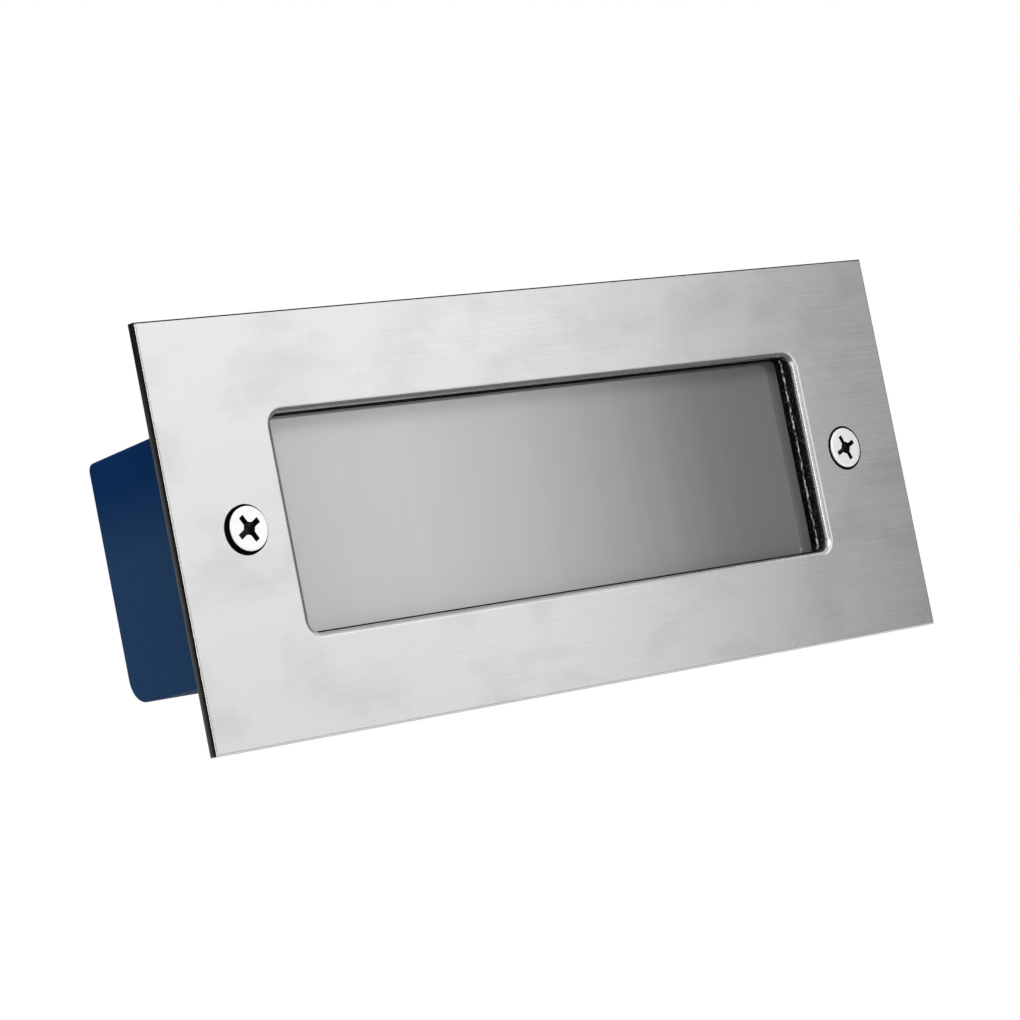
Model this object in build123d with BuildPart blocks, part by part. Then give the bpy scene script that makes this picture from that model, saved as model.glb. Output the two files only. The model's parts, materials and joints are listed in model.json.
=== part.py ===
"""Recessed step light: a brushed steel face plate with frosted glass over a moulded back box.

Millimetres. X runs along the plate, Y runs into the wall and Z is up. The origin is the
centre of the plate's back face, which is the face that rests on the wall.
A depth is a distance behind the wall's surface, so it is a value along Y.
"""

from build123d import *
from math import radians, tan
import os

# ---------------------------------------------------------------- window and glass
window_width = 170.0
window_height = 51.5
window_corner_radius = 3.3
window_lip_radius = 1.4
glass_overlap_ends = 5.0
glass_overlap_sides = 5.5
glass_thickness = 4.0
glass_corner_radius = 4.0
glass_edge_chamfer = 0.4
glass_seal_thickness = 3.7
glass_seal_inside_window_ends = 1.2
glass_seal_inside_window_sides = 0.3
glass_seal_corner_radius = 1.5
glass_pocket_clearance = 0.75
chamber_gasket_thickness = 1.0
glass_width = window_width + 2 * glass_overlap_ends
glass_height = window_height + 2 * glass_overlap_sides

# ---------------------------------------------------------------- face screws
face_screw_clear_of_glass = 7.5
face_screw_head_radius = 5.2
face_screw_head_edge = 0.35
face_screw_radius = 2.5
face_screw_length = 16.5
face_screw_tip_chamfer = 1.0
face_screw_recess_span = 6.6
face_screw_recess_width = 1.25
face_screw_recess_depth = 1.5
face_screw_recess_draft = 9.0
face_screw_recess_turn = 15.4
face_screw_socket_radius = 1.7
face_screw_socket_depth = 2.4
face_screw_socket_draft = 14.0
left_screw_stands_proud = 0.9
right_screw_stands_proud = 0.35
countersink_rim_gap = 0.5
countersink_land = 0.2
screw_boss_radius = 4.75
screw_boss_back = 18.0
screw_boss_floor = 1.25
insert_radius = 3.5
insert_length = 10.0
insert_top_below_plate = 0.6
face_screw_spacing = glass_width + 2 * face_screw_clear_of_glass

# ---------------------------------------------------------------- back box
box_depth = 52.5
box_wall = 2.5
box_end_beyond_screws = 6.5
box_end_draft = 4.0
box_top_above_window = 1.25
box_top_draft = 1.55
box_bottom_below_window = 7.15
box_top_edge_radius = 2.0
box_bottom_edge_radius = 6.0
box_end_edge_radius = 0.8
box_inner_edge_radius = 1.0
collar_depth = 11.0
collar_corner_radius = 4.0
collar_wall = 3.0
mouth_corner_radius = 2.5
partition_thickness = 2.5
partition_inside_glass_end = 1.0
box_end_front = face_screw_spacing / 2 + box_end_beyond_screws
box_end_back = box_end_front - box_end_draft
box_top_front = window_height / 2 + box_top_above_window
box_top_back = box_top_front - box_top_draft
box_bottom = -window_height / 2 - box_bottom_below_window
collar_height = glass_height + 2 * (glass_pocket_clearance + collar_wall)
partition_outer_face = glass_width / 2 - partition_inside_glass_end
partition_inner_face = partition_outer_face - partition_thickness

# ---------------------------------------------------------------- face plate
plate_beyond_box_ends = 13.5
plate_beyond_collar = 14.5
plate_thickness = 2.5
plate_edge_radius = 0.5
plate_recess_depth = 0.4
plate_recess_clearance = 0.5
plate_width = 2 * (box_end_front + plate_beyond_box_ends)
plate_height = collar_height + 2 * plate_beyond_collar

# ---------------------------------------------------------------- depths behind the wall's surface
plate_seat_depth = -plate_recess_depth
glass_front_depth = plate_seat_depth + glass_seal_thickness
glass_back_depth = glass_front_depth + glass_thickness
ledge_depth = glass_back_depth + chamber_gasket_thickness
inner_back_depth = box_depth - box_wall

# ---------------------------------------------------------------- light tray
tray_sheet = 0.8
tray_gap_to_ledge = 1.0
tray_gap_to_driver = 7.7
tray_end_clearance = 2.0
tray_side_clearance = 1.5
tray_end_flare = 2.0
tray_side_flare = 1.75
tray_corner_radius = 3.0
tray_screw_in_from_end = 3.5
tray_screw_in_from_side = 5.25
tray_post_radius = 3.5

# ---------------------------------------------------------------- light board
board_end_space = 12.5
board_width = 14.0
board_thickness = 1.6
board_screw_in_from_end = 5.0
led_count = 12
led_row_in_from_screw = 7.8
led_size = 3.0
led_corner_radius = 0.4
led_height = 0.8
board_pad_inset = 2.5
board_pad_spacing = 7.0

# ---------------------------------------------------------------- small screws
small_screw_radius = 1.45
small_screw_head_radius = 2.6
small_screw_head_height = 1.7
small_screw_length = 6.0
small_recess_span = 2.8
small_recess_width = 0.7
small_recess_depth = 1.0

# ---------------------------------------------------------------- driver
driver_length = 66.0
driver_height = 38.0
driver_depth = 20.0
driver_wall = 1.5
driver_lid_thickness = 2.0
driver_lid_lip = 1.6
driver_lid_chamfer = 0.5
driver_corner_radius = 2.0
driver_ear_length = 9.0
driver_ear_width = 10.0
driver_ear_thickness = 2.0
driver_boss_height = 5.0
driver_board_thickness = 1.6
driver_board_post_radius = 2.2
driver_board_post_height = 3.0
driver_board_gap = 0.4
driver_board_post_inset = 3.0
driver_lead_below_lid = 1.5
transformer_size = 15.0
transformer_corner_chamfer = 1.2
capacitor_spacing = 30.0
transformer_height = 8.5
capacitor_radius = 4.0
capacitor_height = 9.5
capacitor_edge_radius = 0.5

# ---------------------------------------------------------------- lever terminal block
terminal_length = 18.0
terminal_height = 22.0
terminal_depth = 14.0
terminal_pole_spacing = 10.4
terminal_slot_width = 7.0
terminal_slot_depth = 5.4
terminal_end_wall = 3.0
terminal_floor = 1.5
terminal_edge_chamfer = 0.5
terminal_cavity_height = 4.5
terminal_cavity_width = 5.0
terminal_lug_length = 7.0
terminal_lug_width = 7.0
terminal_lug_thickness = 2.5
terminal_boss_height = 2.5
terminal_boss_radius = 3.2
contact_thickness = 1.2
lever_length = 11.5
lever_thickness = 2.2
lever_hub_radius = 2.1
lever_tip_rise = 0.9
lever_pin_radius = 1.0

# ---------------------------------------------------------------- internal leads
lead_radius = 0.8
led_lead_spacing = 3.2
led_lead_loop_height = 4.9
lead_bend_share = 0.45
supply_lead_spacing = 18.0
lead_on_board_from_end = 9.0
supply_lead_straight = 7.0
supply_lead_drop_before_block = 6.0
supply_lead_in_block = 6.0

# ---------------------------------------------------------------- grommet in the tray
grommet_radius = 4.6
grommet_neck_radius = 3.8
grommet_flange = 1.0
grommet_gap_to_board = 1.5

# ---------------------------------------------------------------- cable gland
locknut_spanner_clearance = 2.0
gland_thread_radius = 8.0
gland_bore_radius = 4.6
gland_cable_radius = 4.0
gland_flange_flats = 19.0
gland_flange_thickness = 5.0
gland_inner_length = 9.5
gland_washer_radius = 10.5
gland_washer_thickness = 1.2
gland_locknut_flats = 21.0
gland_locknut_thickness = 5.0
gland_outer_length = 7.5
gland_outer_radius = 7.5
gland_throat_radius = 6.3
gland_throat_depth = 5.0
gland_seal_proud = 2.0
gland_seal_chamfer = 1.4
gland_cap_gap = 0.4
gland_cap_crown_radius = 2.8
gland_cap_length = 14.0
gland_cap_flats = 19.0
gland_cap_hex_length = 8.0
gland_cap_mouth_radius = 4.8

# ---------------------------------------------------------------- clearances
running_clearance = 0.05
seated_clearance = 0.02
lever_side_clearance = 0.2
hole_clearance = 0.2


def at_depth(depth):
    """A drawing plane that faces the room, at a depth behind the wall's surface."""
    return Plane.XZ.offset(-depth)


def box_top_at(depth):
    """Height of the box's drafted top face at a depth."""
    return box_top_front + (box_top_back - box_top_front) * depth / box_depth


def box_end_at(depth):
    """Distance of the box's drafted end faces from the middle at a depth."""
    return box_end_front + (box_end_back - box_end_front) * depth / box_depth


def end_profile(front_depth, inset):
    """The box's end view, from a depth to the back wall, drawn inside the wall by inset."""
    back_depth = box_depth - inset
    return [
        (front_depth, box_top_at(front_depth) - inset),
        (back_depth, box_top_at(back_depth) - inset),
        (back_depth, box_bottom + inset),
        (front_depth, box_bottom + inset),
    ]


def plan_profile(inset):
    """The box's plan view, narrower at the back, drawn inside the wall by inset."""
    back_depth = box_depth - inset
    return [
        (-box_end_at(0) + inset, 0),
        (box_end_at(0) - inset, 0),
        (box_end_at(back_depth) - inset, back_depth),
        (-box_end_at(back_depth) + inset, back_depth),
    ]


def end_view(front_depth, inset):
    """The box's end view as a face, with its two back corners rounded."""
    with BuildSketch() as view:
        with BuildLine():
            Polyline(*end_profile(front_depth, inset), close=True)
        make_face()
        bottom_corner = view.vertices().group_by(Axis.X)[-1].sort_by(Axis.Y)[0]
        fillet(bottom_corner, box_bottom_edge_radius - inset)
        top_corner = view.vertices().group_by(Axis.X)[-1].sort_by(Axis.Y)[-1]
        fillet(top_corner, max(box_top_edge_radius - inset, box_inner_edge_radius))
    return view.sketch


def tapered_block(inset):
    """The box's drafted body as a solid, or with an inset the space inside its walls."""
    with BuildPart() as block:
        with BuildSketch(Plane.YZ):
            add(end_view(0, inset))
        extrude(amount=box_end_front, both=True)
        with BuildSketch(Plane.XY):
            with BuildLine():
                Polyline(*plan_profile(inset), close=True)
            make_face()
        extrude(amount=collar_height, both=True, mode=Mode.INTERSECT)
    return block


def cross_recess(span, width, turn):
    """A cross-shaped screw recess, drawn on the current plane."""
    Rectangle(span, width, rotation=turn)
    Rectangle(width, span, rotation=turn)
    RegularPolygon(width, 4, rotation=turn)


def pan_head_screws(places, seat_depth):
    """Small round-headed cross-recess screws whose heads rest at one depth."""
    head_front = seat_depth - small_screw_head_height
    with BuildPart() as screws:
        with BuildSketch(at_depth(seat_depth)):
            with Locations(*places):
                Circle(small_screw_head_radius)
        extrude(amount=small_screw_head_height)
        fillet(screws.edges().group_by(Axis.Y)[0], small_screw_head_height / 2)
        with BuildSketch(at_depth(seat_depth + small_screw_length)):
            with Locations(*places):
                Circle(small_screw_radius)
        extrude(amount=small_screw_length)
        with BuildSketch(at_depth(head_front + small_recess_depth)):
            with Locations(*places):
                cross_recess(small_recess_span, small_recess_width, 0)
        extrude(amount=small_recess_depth, mode=Mode.SUBTRACT)
    return screws


def wire_lead(*points):
    """An insulated lead along straight runs joined by arcs, each as wide as its runs allow."""
    corners = [Vector(*point) for point in points]
    radii = []
    for before, corner, after in zip(corners, corners[1:], corners[2:]):
        arriving = corner - before
        leaving = after - corner
        turn = radians(arriving.get_angle(leaving))
        radii.append(lead_bend_share * min(arriving.length, leaving.length) / tan(turn / 2))
    print("lead bend radii", [round(radius, 1) for radius in radii])
    with BuildPart() as lead:
        with BuildLine() as route:
            FilletPolyline(*corners, radius=radii)
        with BuildSketch(Plane(origin=corners[0], z_dir=corners[1] - corners[0])):
            Circle(lead_radius)
        sweep(path=route.wires()[0])
    return lead


pieces = {}

# places that several pieces share
driver_front_depth = inner_back_depth - driver_depth
tray_rim_depth = ledge_depth + tray_gap_to_ledge
tray_floor_depth = driver_front_depth - tray_gap_to_driver
tray_inner_floor = tray_floor_depth - tray_sheet
tray_rim_width = 2 * (partition_inner_face - tray_end_clearance)
chamber_top = box_top_at(ledge_depth) - box_wall
tray_rim_height = 2 * (chamber_top - tray_side_clearance)
tray_floor_width = tray_rim_width - 2 * tray_end_flare
tray_floor_height = tray_rim_height - 2 * tray_side_flare
tray_screw_places = [
    (side * (tray_floor_width / 2 - tray_screw_in_from_end),
     level * (tray_floor_height / 2 - tray_screw_in_from_side))
    for side in (-1, 1)
    for level in (-1, 1)
]
board_length = tray_floor_width - 2 * board_end_space
board_screw_spacing = board_length - 2 * board_screw_in_from_end
led_pitch = (board_screw_spacing - 2 * led_row_in_from_screw) / (led_count - 1)
# the driver, the terminal block and the gland's locknut stand in a row with equal gaps
locknut_room = gland_locknut_flats + 2 * locknut_spanner_clearance
row_length = driver_length + 2 * driver_ear_length + terminal_length + locknut_room
row_gap = (2 * partition_inner_face - row_length) / 4
driver_left_end = -partition_inner_face + row_gap + driver_ear_length
driver_right_end = driver_left_end + driver_length
driver_centre_x = (driver_left_end + driver_right_end) / 2
terminal_left_x = driver_right_end + driver_ear_length + row_gap
gland_x = partition_inner_face - row_gap - locknut_room / 2

# ================================================================ face plate assembly

countersink_radius = face_screw_head_radius + countersink_rim_gap
countersink_depth = plate_thickness - plate_recess_depth - countersink_land
countersink_back_radius = countersink_radius - countersink_depth

with BuildPart() as face_plate:
    with BuildSketch(at_depth(0)):
        Rectangle(plate_width, plate_height)
    extrude(amount=plate_thickness)
    fillet(face_plate.faces().sort_by(Axis.Y)[0].edges(), plate_edge_radius)
    with BuildSketch(at_depth(0)):
        RectangleRounded(window_width, window_height, window_corner_radius)
    extrude(amount=plate_thickness, mode=Mode.SUBTRACT)
    fillet(face_plate.faces().sort_by(Axis.Y)[0].inner_wires()[0].edges(), window_lip_radius)
    with Locations(at_depth(-plate_thickness)):
        with GridLocations(face_screw_spacing, 1, 2, 1):
            CounterSinkHole(
                radius=countersink_back_radius,
                counter_sink_radius=countersink_radius,
                counter_sink_angle=90,
            )
    # a shallow recess in the back, which seats on the box's collar and centres the plate
    with BuildSketch(at_depth(0)):
        RectangleRounded(
            2 * (box_end_front + plate_recess_clearance),
            collar_height + 2 * plate_recess_clearance,
            collar_corner_radius + plate_recess_clearance,
        )
    extrude(amount=plate_recess_depth, mode=Mode.SUBTRACT)
pieces["face_plate"] = face_plate

with BuildPart() as glass_seal:
    with BuildSketch(at_depth(glass_front_depth)):
        RectangleRounded(glass_width, glass_height, glass_corner_radius)
        RectangleRounded(
            window_width - 2 * glass_seal_inside_window_ends,
            window_height - 2 * glass_seal_inside_window_sides,
            glass_seal_corner_radius,
            mode=Mode.SUBTRACT,
        )
    extrude(amount=glass_seal_thickness)
pieces["glass_seal"] = glass_seal

with BuildPart() as lens_glass:
    with BuildSketch(at_depth(glass_back_depth)):
        RectangleRounded(glass_width, glass_height, glass_corner_radius)
    extrude(amount=glass_thickness)
    chamfer(lens_glass.faces().filter_by(Axis.Y).edges(), glass_edge_chamfer)
pieces["lens_glass"] = lens_glass


def face_screw(side, stands_proud):
    """One of the two countersunk screws that hold the plate to the box."""
    head_front = -plate_thickness - stands_proud
    cone_front = head_front + face_screw_head_edge
    cone_back = cone_front + face_screw_head_radius - face_screw_radius
    tip = head_front + face_screw_length
    place = (side * face_screw_spacing / 2, 0)
    with BuildPart() as screw:
        with BuildSketch(Plane.XY.shift_origin((place[0], 0, 0))):
            with BuildLine():
                Polyline(
                    (0, head_front),
                    (face_screw_head_radius, head_front),
                    (face_screw_head_radius, cone_front),
                    (face_screw_radius, cone_back),
                    (face_screw_radius, tip - face_screw_tip_chamfer),
                    (face_screw_radius - face_screw_tip_chamfer, tip),
                    (0, tip),
                    close=True,
                )
            make_face()
        revolve(axis=Axis((place[0], 0, 0), (0, 1, 0)))
        with BuildSketch(at_depth(head_front)):
            with Locations(place):
                cross_recess(
                    face_screw_recess_span, face_screw_recess_width, face_screw_recess_turn
                )
        extrude(
            amount=-face_screw_recess_depth, taper=face_screw_recess_draft, mode=Mode.SUBTRACT
        )
        with BuildSketch(at_depth(head_front)):
            with Locations(place):
                Circle(face_screw_socket_radius)
        extrude(
            amount=-face_screw_socket_depth, taper=face_screw_socket_draft, mode=Mode.SUBTRACT
        )
    return screw


def face_screw_seal(side):
    """The black rubber cone that lines a countersink, under the screw's head."""
    cone_step = face_screw_head_edge - right_screw_stands_proud
    inner_front = face_screw_head_radius + running_clearance + cone_step
    outer_front = countersink_radius - running_clearance
    inner_back = face_screw_radius + running_clearance
    seal_back = inner_front - inner_back - plate_thickness
    outer_back = outer_front - plate_thickness - seal_back
    centre_x = side * face_screw_spacing / 2
    with BuildPart() as seal:
        with BuildSketch(Plane.XY.shift_origin((centre_x, 0, 0))):
            with BuildLine():
                Polyline(
                    (inner_front, -plate_thickness),
                    (outer_front, -plate_thickness),
                    (outer_back, seal_back),
                    (inner_back, seal_back),
                    close=True,
                )
            make_face()
        revolve(axis=Axis((centre_x, 0, 0), (0, 1, 0)))
    return seal


for side_name, side, proud in (
    ("left", -1, left_screw_stands_proud),
    ("right", 1, right_screw_stands_proud),
):
    pieces[f"{side_name}_face_screw"] = face_screw(side, proud)
    pieces[f"{side_name}_screw_seal"] = face_screw_seal(side)

# ================================================================ back box

mouth_height = collar_height - 2 * collar_wall
mouth_width = 2 * (box_end_front - box_wall)
insert_back_depth = insert_top_below_plate + insert_length
box_solid = tapered_block(0)
box_space = tapered_block(box_wall)
driver_boss_spacing = driver_length + driver_ear_length
driver_boss_places = [
    (driver_centre_x - driver_boss_spacing / 2, 0),
    (driver_centre_x + driver_boss_spacing / 2, 0),
]
terminal_centre_x = terminal_left_x + terminal_length / 2
terminal_lug_places = [
    (terminal_centre_x, level * (terminal_height + terminal_lug_length) / 2) for level in (-1, 1)
]

with BuildPart() as back_box:
    add(box_solid.part)
    end_faces = back_box.faces().filter_by(Plane.YZ, reverse=True).sort_by(Axis.X)
    fillet(
        [edge for face in (end_faces[0], end_faces[-1]) for edge in face.edges()
         if edge.center().Y > collar_depth],
        box_end_edge_radius,
    )
    with BuildSketch(at_depth(collar_depth)):
        RectangleRounded(2 * box_end_front, collar_height, collar_corner_radius)
    extrude(amount=collar_depth - plate_seat_depth)
    add(box_space.part, mode=Mode.SUBTRACT)
    with BuildSketch(at_depth(ledge_depth)):
        RectangleRounded(mouth_width, mouth_height, mouth_corner_radius)
    extrude(amount=ledge_depth - plate_seat_depth, mode=Mode.SUBTRACT)
    # the partition walls close the ends of the sealed chamber
    for side in (-1, 1):
        with BuildSketch(Plane.YZ.offset(side * (partition_inner_face + partition_thickness / 2))):
            add(end_view(ledge_depth, box_wall / 2))
        extrude(amount=partition_thickness / 2, both=True)
    # a rib along the chamber's lower side, which carries the gasket there
    with BuildSketch(at_depth(collar_depth)):
        with Locations((0, -chamber_top)):
            Rectangle(
                2 * partition_outer_face,
                -chamber_top - box_bottom - box_wall / 2,
                align=(Align.CENTER, Align.MAX),
            )
    extrude(amount=collar_depth - ledge_depth)
    # bosses for the face screws, in the pockets outside the partitions
    with BuildSketch(at_depth(screw_boss_back)):
        with GridLocations(face_screw_spacing, 1, 2, 1):
            Circle(screw_boss_radius)
    extrude(amount=screw_boss_back - insert_top_below_plate)
    with BuildSketch(at_depth(insert_back_depth)):
        with GridLocations(face_screw_spacing, 1, 2, 1):
            Circle(insert_radius + seated_clearance)
    extrude(amount=insert_length, mode=Mode.SUBTRACT)
    with BuildSketch(at_depth(screw_boss_back - screw_boss_floor)):
        with GridLocations(face_screw_spacing, 1, 2, 1):
            Circle(face_screw_radius + hole_clearance)
    extrude(amount=screw_boss_back - screw_boss_floor - insert_back_depth, mode=Mode.SUBTRACT)
    # posts that carry the light tray
    with BuildSketch(at_depth(inner_back_depth)):
        with Locations(*tray_screw_places):
            Circle(tray_post_radius)
    extrude(amount=inner_back_depth - tray_floor_depth)
    # bosses that carry the driver and the terminal block
    with BuildSketch(at_depth(inner_back_depth)):
        with Locations(*driver_boss_places):
            Circle(tray_post_radius)
    extrude(amount=driver_boss_height)
    with BuildSketch(at_depth(inner_back_depth)):
        with Locations(*terminal_lug_places):
            Circle(terminal_boss_radius)
    extrude(amount=terminal_boss_height)
    # pilot holes for the small screws
    for places, seat_depth, sheet in (
        (tray_screw_places, tray_floor_depth, tray_sheet),
        (driver_boss_places, inner_back_depth - driver_boss_height, driver_ear_thickness),
        (terminal_lug_places, inner_back_depth - terminal_boss_height, terminal_lug_thickness),
    ):
        pilot_depth = small_screw_length - sheet + hole_clearance
        with BuildSketch(at_depth(seat_depth + pilot_depth)):
            with Locations(*places):
                Circle(small_screw_radius + seated_clearance)
        extrude(amount=pilot_depth, mode=Mode.SUBTRACT)
    # cable entry
    with BuildSketch(at_depth(box_depth)):
        with Locations((gland_x, 0)):
            Circle(gland_thread_radius + hole_clearance)
    extrude(amount=box_wall, mode=Mode.SUBTRACT)
pieces["back_box"] = back_box

with BuildPart() as brass_inserts:
    with BuildSketch(at_depth(insert_back_depth)):
        with GridLocations(face_screw_spacing, 1, 2, 1):
            Circle(insert_radius)
            Circle(face_screw_radius + running_clearance, mode=Mode.SUBTRACT)
    extrude(amount=insert_length)
pieces["brass_inserts"] = brass_inserts

with BuildPart() as chamber_gasket:
    with BuildSketch(at_depth(ledge_depth)):
        RectangleRounded(
            2 * partition_outer_face, glass_height - 2 * glass_edge_chamfer, glass_corner_radius
        )
        Rectangle(
            2 * partition_inner_face, 2 * (chamber_top + glass_edge_chamfer), mode=Mode.SUBTRACT
        )
    extrude(amount=chamber_gasket_thickness)
pieces["chamber_gasket"] = chamber_gasket

# ================================================================ light tray and board

grommet_x = -(board_length / 2 + grommet_radius + grommet_gap_to_board)
board_front_depth = tray_inner_floor - board_thickness
board_screw_places = [(-board_screw_spacing / 2, 0), (board_screw_spacing / 2, 0)]

with BuildPart() as light_tray:
    with BuildSketch(at_depth(tray_floor_depth)):
        RectangleRounded(tray_floor_width, tray_floor_height, tray_corner_radius)
    with BuildSketch(at_depth(tray_rim_depth)):
        RectangleRounded(tray_rim_width, tray_rim_height, tray_corner_radius)
    loft()
    with BuildSketch(at_depth(tray_inner_floor)):
        RectangleRounded(
            tray_floor_width - 2 * tray_sheet,
            tray_floor_height - 2 * tray_sheet,
            tray_corner_radius - tray_sheet,
        )
    with BuildSketch(at_depth(tray_rim_depth)):
        RectangleRounded(
            tray_rim_width - 2 * tray_sheet,
            tray_rim_height - 2 * tray_sheet,
            tray_corner_radius - tray_sheet,
        )
    loft(mode=Mode.SUBTRACT)
    with BuildSketch(at_depth(tray_floor_depth)):
        with Locations(*tray_screw_places, *board_screw_places):
            Circle(small_screw_radius + running_clearance)
        with Locations((grommet_x, 0)):
            Circle(grommet_neck_radius)
    extrude(amount=tray_sheet, mode=Mode.SUBTRACT)
pieces["light_tray"] = light_tray
pieces["tray_screws"] = pan_head_screws(tray_screw_places, tray_inner_floor)

with BuildPart() as led_board:
    with BuildSketch(at_depth(tray_inner_floor)):
        Rectangle(board_length, board_width)
        with Locations(*board_screw_places):
            Circle(small_screw_radius + running_clearance, mode=Mode.SUBTRACT)
    extrude(amount=board_thickness)
pieces["led_board"] = led_board
pieces["board_screws"] = pan_head_screws(board_screw_places, board_front_depth)

with BuildPart() as leds:
    with BuildSketch(at_depth(board_front_depth)):
        with GridLocations(led_pitch, 1, led_count, 1):
            RectangleRounded(led_size, led_size, led_corner_radius)
    extrude(amount=led_height)
pieces["leds"] = leds

with BuildPart() as tray_grommet:
    with BuildSketch(at_depth(tray_floor_depth + grommet_flange)):
        with Locations((grommet_x, 0)):
            Circle(grommet_radius)
    extrude(amount=grommet_flange)
    with BuildSketch(at_depth(tray_floor_depth)):
        with Locations((grommet_x, 0)):
            Circle(grommet_neck_radius)
    extrude(amount=tray_sheet)
    with BuildSketch(at_depth(tray_inner_floor)):
        with Locations((grommet_x, 0)):
            Circle(grommet_radius)
    extrude(amount=grommet_flange)
    with BuildSketch(at_depth(tray_floor_depth + grommet_flange)):
        with Locations((grommet_x, 0)):
            with GridLocations(1, led_lead_spacing, 1, 2):
                Circle(lead_radius + seated_clearance)
    extrude(amount=2 * grommet_flange + tray_sheet, mode=Mode.SUBTRACT)
pieces["tray_grommet"] = tray_grommet

# ================================================================ driver

driver_base_front = driver_front_depth + driver_lid_thickness
driver_board_depth = inner_back_depth - driver_wall - driver_board_post_height
driver_board_front = driver_board_depth - driver_board_thickness
driver_inner_length = driver_length - 2 * driver_wall
driver_inner_height = driver_height - 2 * driver_wall
driver_board_length = driver_inner_length - 2 * driver_board_gap
driver_board_height = driver_inner_height - 2 * driver_board_gap
driver_lead_depth = driver_base_front + driver_lid_lip + driver_lead_below_lid + lead_radius
driver_ear_depth = inner_back_depth - driver_boss_height
lead_hole_radius = lead_radius + running_clearance

with BuildPart() as driver_case:
    with BuildSketch(at_depth(inner_back_depth)):
        with Locations((driver_centre_x, 0)):
            RectangleRounded(driver_length, driver_height, driver_corner_radius)
    extrude(amount=inner_back_depth - driver_base_front)
    with BuildSketch(at_depth(driver_ear_depth)):
        with Locations((driver_centre_x, 0)):
            Rectangle(driver_length + 2 * driver_ear_length, driver_ear_width)
    extrude(amount=driver_ear_thickness)
    with BuildSketch(at_depth(inner_back_depth - driver_wall)):
        with Locations((driver_centre_x, 0)):
            Rectangle(driver_inner_length, driver_inner_height)
    extrude(
        amount=inner_back_depth - driver_wall - driver_base_front, mode=Mode.SUBTRACT
    )
    with BuildSketch(at_depth(inner_back_depth - driver_wall)):
        with Locations((driver_centre_x, 0)):
            with GridLocations(
                driver_board_length - 2 * driver_board_post_inset,
                driver_board_height - 2 * driver_board_post_inset,
                2,
                2,
            ):
                Circle(driver_board_post_radius)
    extrude(amount=driver_board_post_height)
    with BuildSketch(at_depth(driver_ear_depth)):
        with Locations(*driver_boss_places):
            Circle(small_screw_radius + running_clearance)
    extrude(amount=driver_ear_thickness, mode=Mode.SUBTRACT)
    # holes for the two output leads at the left end and the two supply leads at the right
    with BuildSketch(Plane.YZ.offset(driver_left_end + driver_wall)):
        with Locations((driver_lead_depth, 0)):
            with GridLocations(1, led_lead_spacing, 1, 2):
                Circle(lead_hole_radius)
    extrude(amount=-driver_wall, mode=Mode.SUBTRACT)
    with BuildSketch(Plane.YZ.offset(driver_right_end)):
        with Locations((driver_lead_depth, 0)):
            with GridLocations(1, supply_lead_spacing, 1, 2):
                Circle(lead_hole_radius)
    extrude(amount=-driver_wall, mode=Mode.SUBTRACT)
pieces["driver_case"] = driver_case
pieces["driver_screws"] = pan_head_screws(
    driver_boss_places, driver_ear_depth - driver_ear_thickness
)

with BuildPart() as driver_lid:
    with BuildSketch(at_depth(driver_base_front)):
        with Locations((driver_centre_x, 0)):
            RectangleRounded(driver_length, driver_height, driver_corner_radius)
    extrude(amount=driver_lid_thickness)
    chamfer(driver_lid.faces().sort_by(Axis.Y)[0].edges(), driver_lid_chamfer)
    with BuildSketch(at_depth(driver_base_front + driver_lid_lip)):
        with Locations((driver_centre_x, 0)):
            Rectangle(
                driver_inner_length - 2 * running_clearance,
                driver_inner_height - 2 * running_clearance,
            )
            Rectangle(
                driver_inner_length - 2 * driver_wall,
                driver_inner_height - 2 * driver_wall,
                mode=Mode.SUBTRACT,
            )
    extrude(amount=driver_lid_lip)
pieces["driver_lid"] = driver_lid

with BuildPart() as driver_board:
    with BuildSketch(at_depth(driver_board_depth)):
        with Locations((driver_centre_x, 0)):
            Rectangle(driver_board_length, driver_board_height)
    extrude(amount=driver_board_thickness)
pieces["driver_board"] = driver_board

with BuildPart() as driver_transformer:
    with BuildSketch(at_depth(driver_board_front)):
        with Locations((driver_centre_x, 0)):
            Rectangle(transformer_size, transformer_size)
    extrude(amount=transformer_height)
    chamfer(driver_transformer.edges().filter_by(Axis.Y), transformer_corner_chamfer)
pieces["driver_transformer"] = driver_transformer

with BuildPart() as driver_capacitors:
    with BuildSketch(at_depth(driver_board_front)):
        with Locations((driver_centre_x, 0)):
            with GridLocations(capacitor_spacing, 1, 2, 1):
                Circle(capacitor_radius)
    extrude(amount=capacitor_height)
    fillet(driver_capacitors.faces().group_by(Axis.Y)[0].edges(), capacitor_edge_radius)
pieces["driver_capacitors"] = driver_capacitors

# ================================================================ lever terminal block

terminal_front_depth = inner_back_depth - terminal_depth
terminal_right_x = terminal_left_x + terminal_length
terminal_cavity_back = inner_back_depth - terminal_floor
contact_front_depth = terminal_cavity_back - contact_thickness
lead_in_terminal_depth = contact_front_depth - lead_radius
lever_pivot_x = terminal_left_x + terminal_end_wall + lever_hub_radius
lever_pivot_depth = terminal_front_depth + lever_hub_radius + lever_side_clearance
pole_places = [(0, -terminal_pole_spacing / 2), (0, terminal_pole_spacing / 2)]

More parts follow.
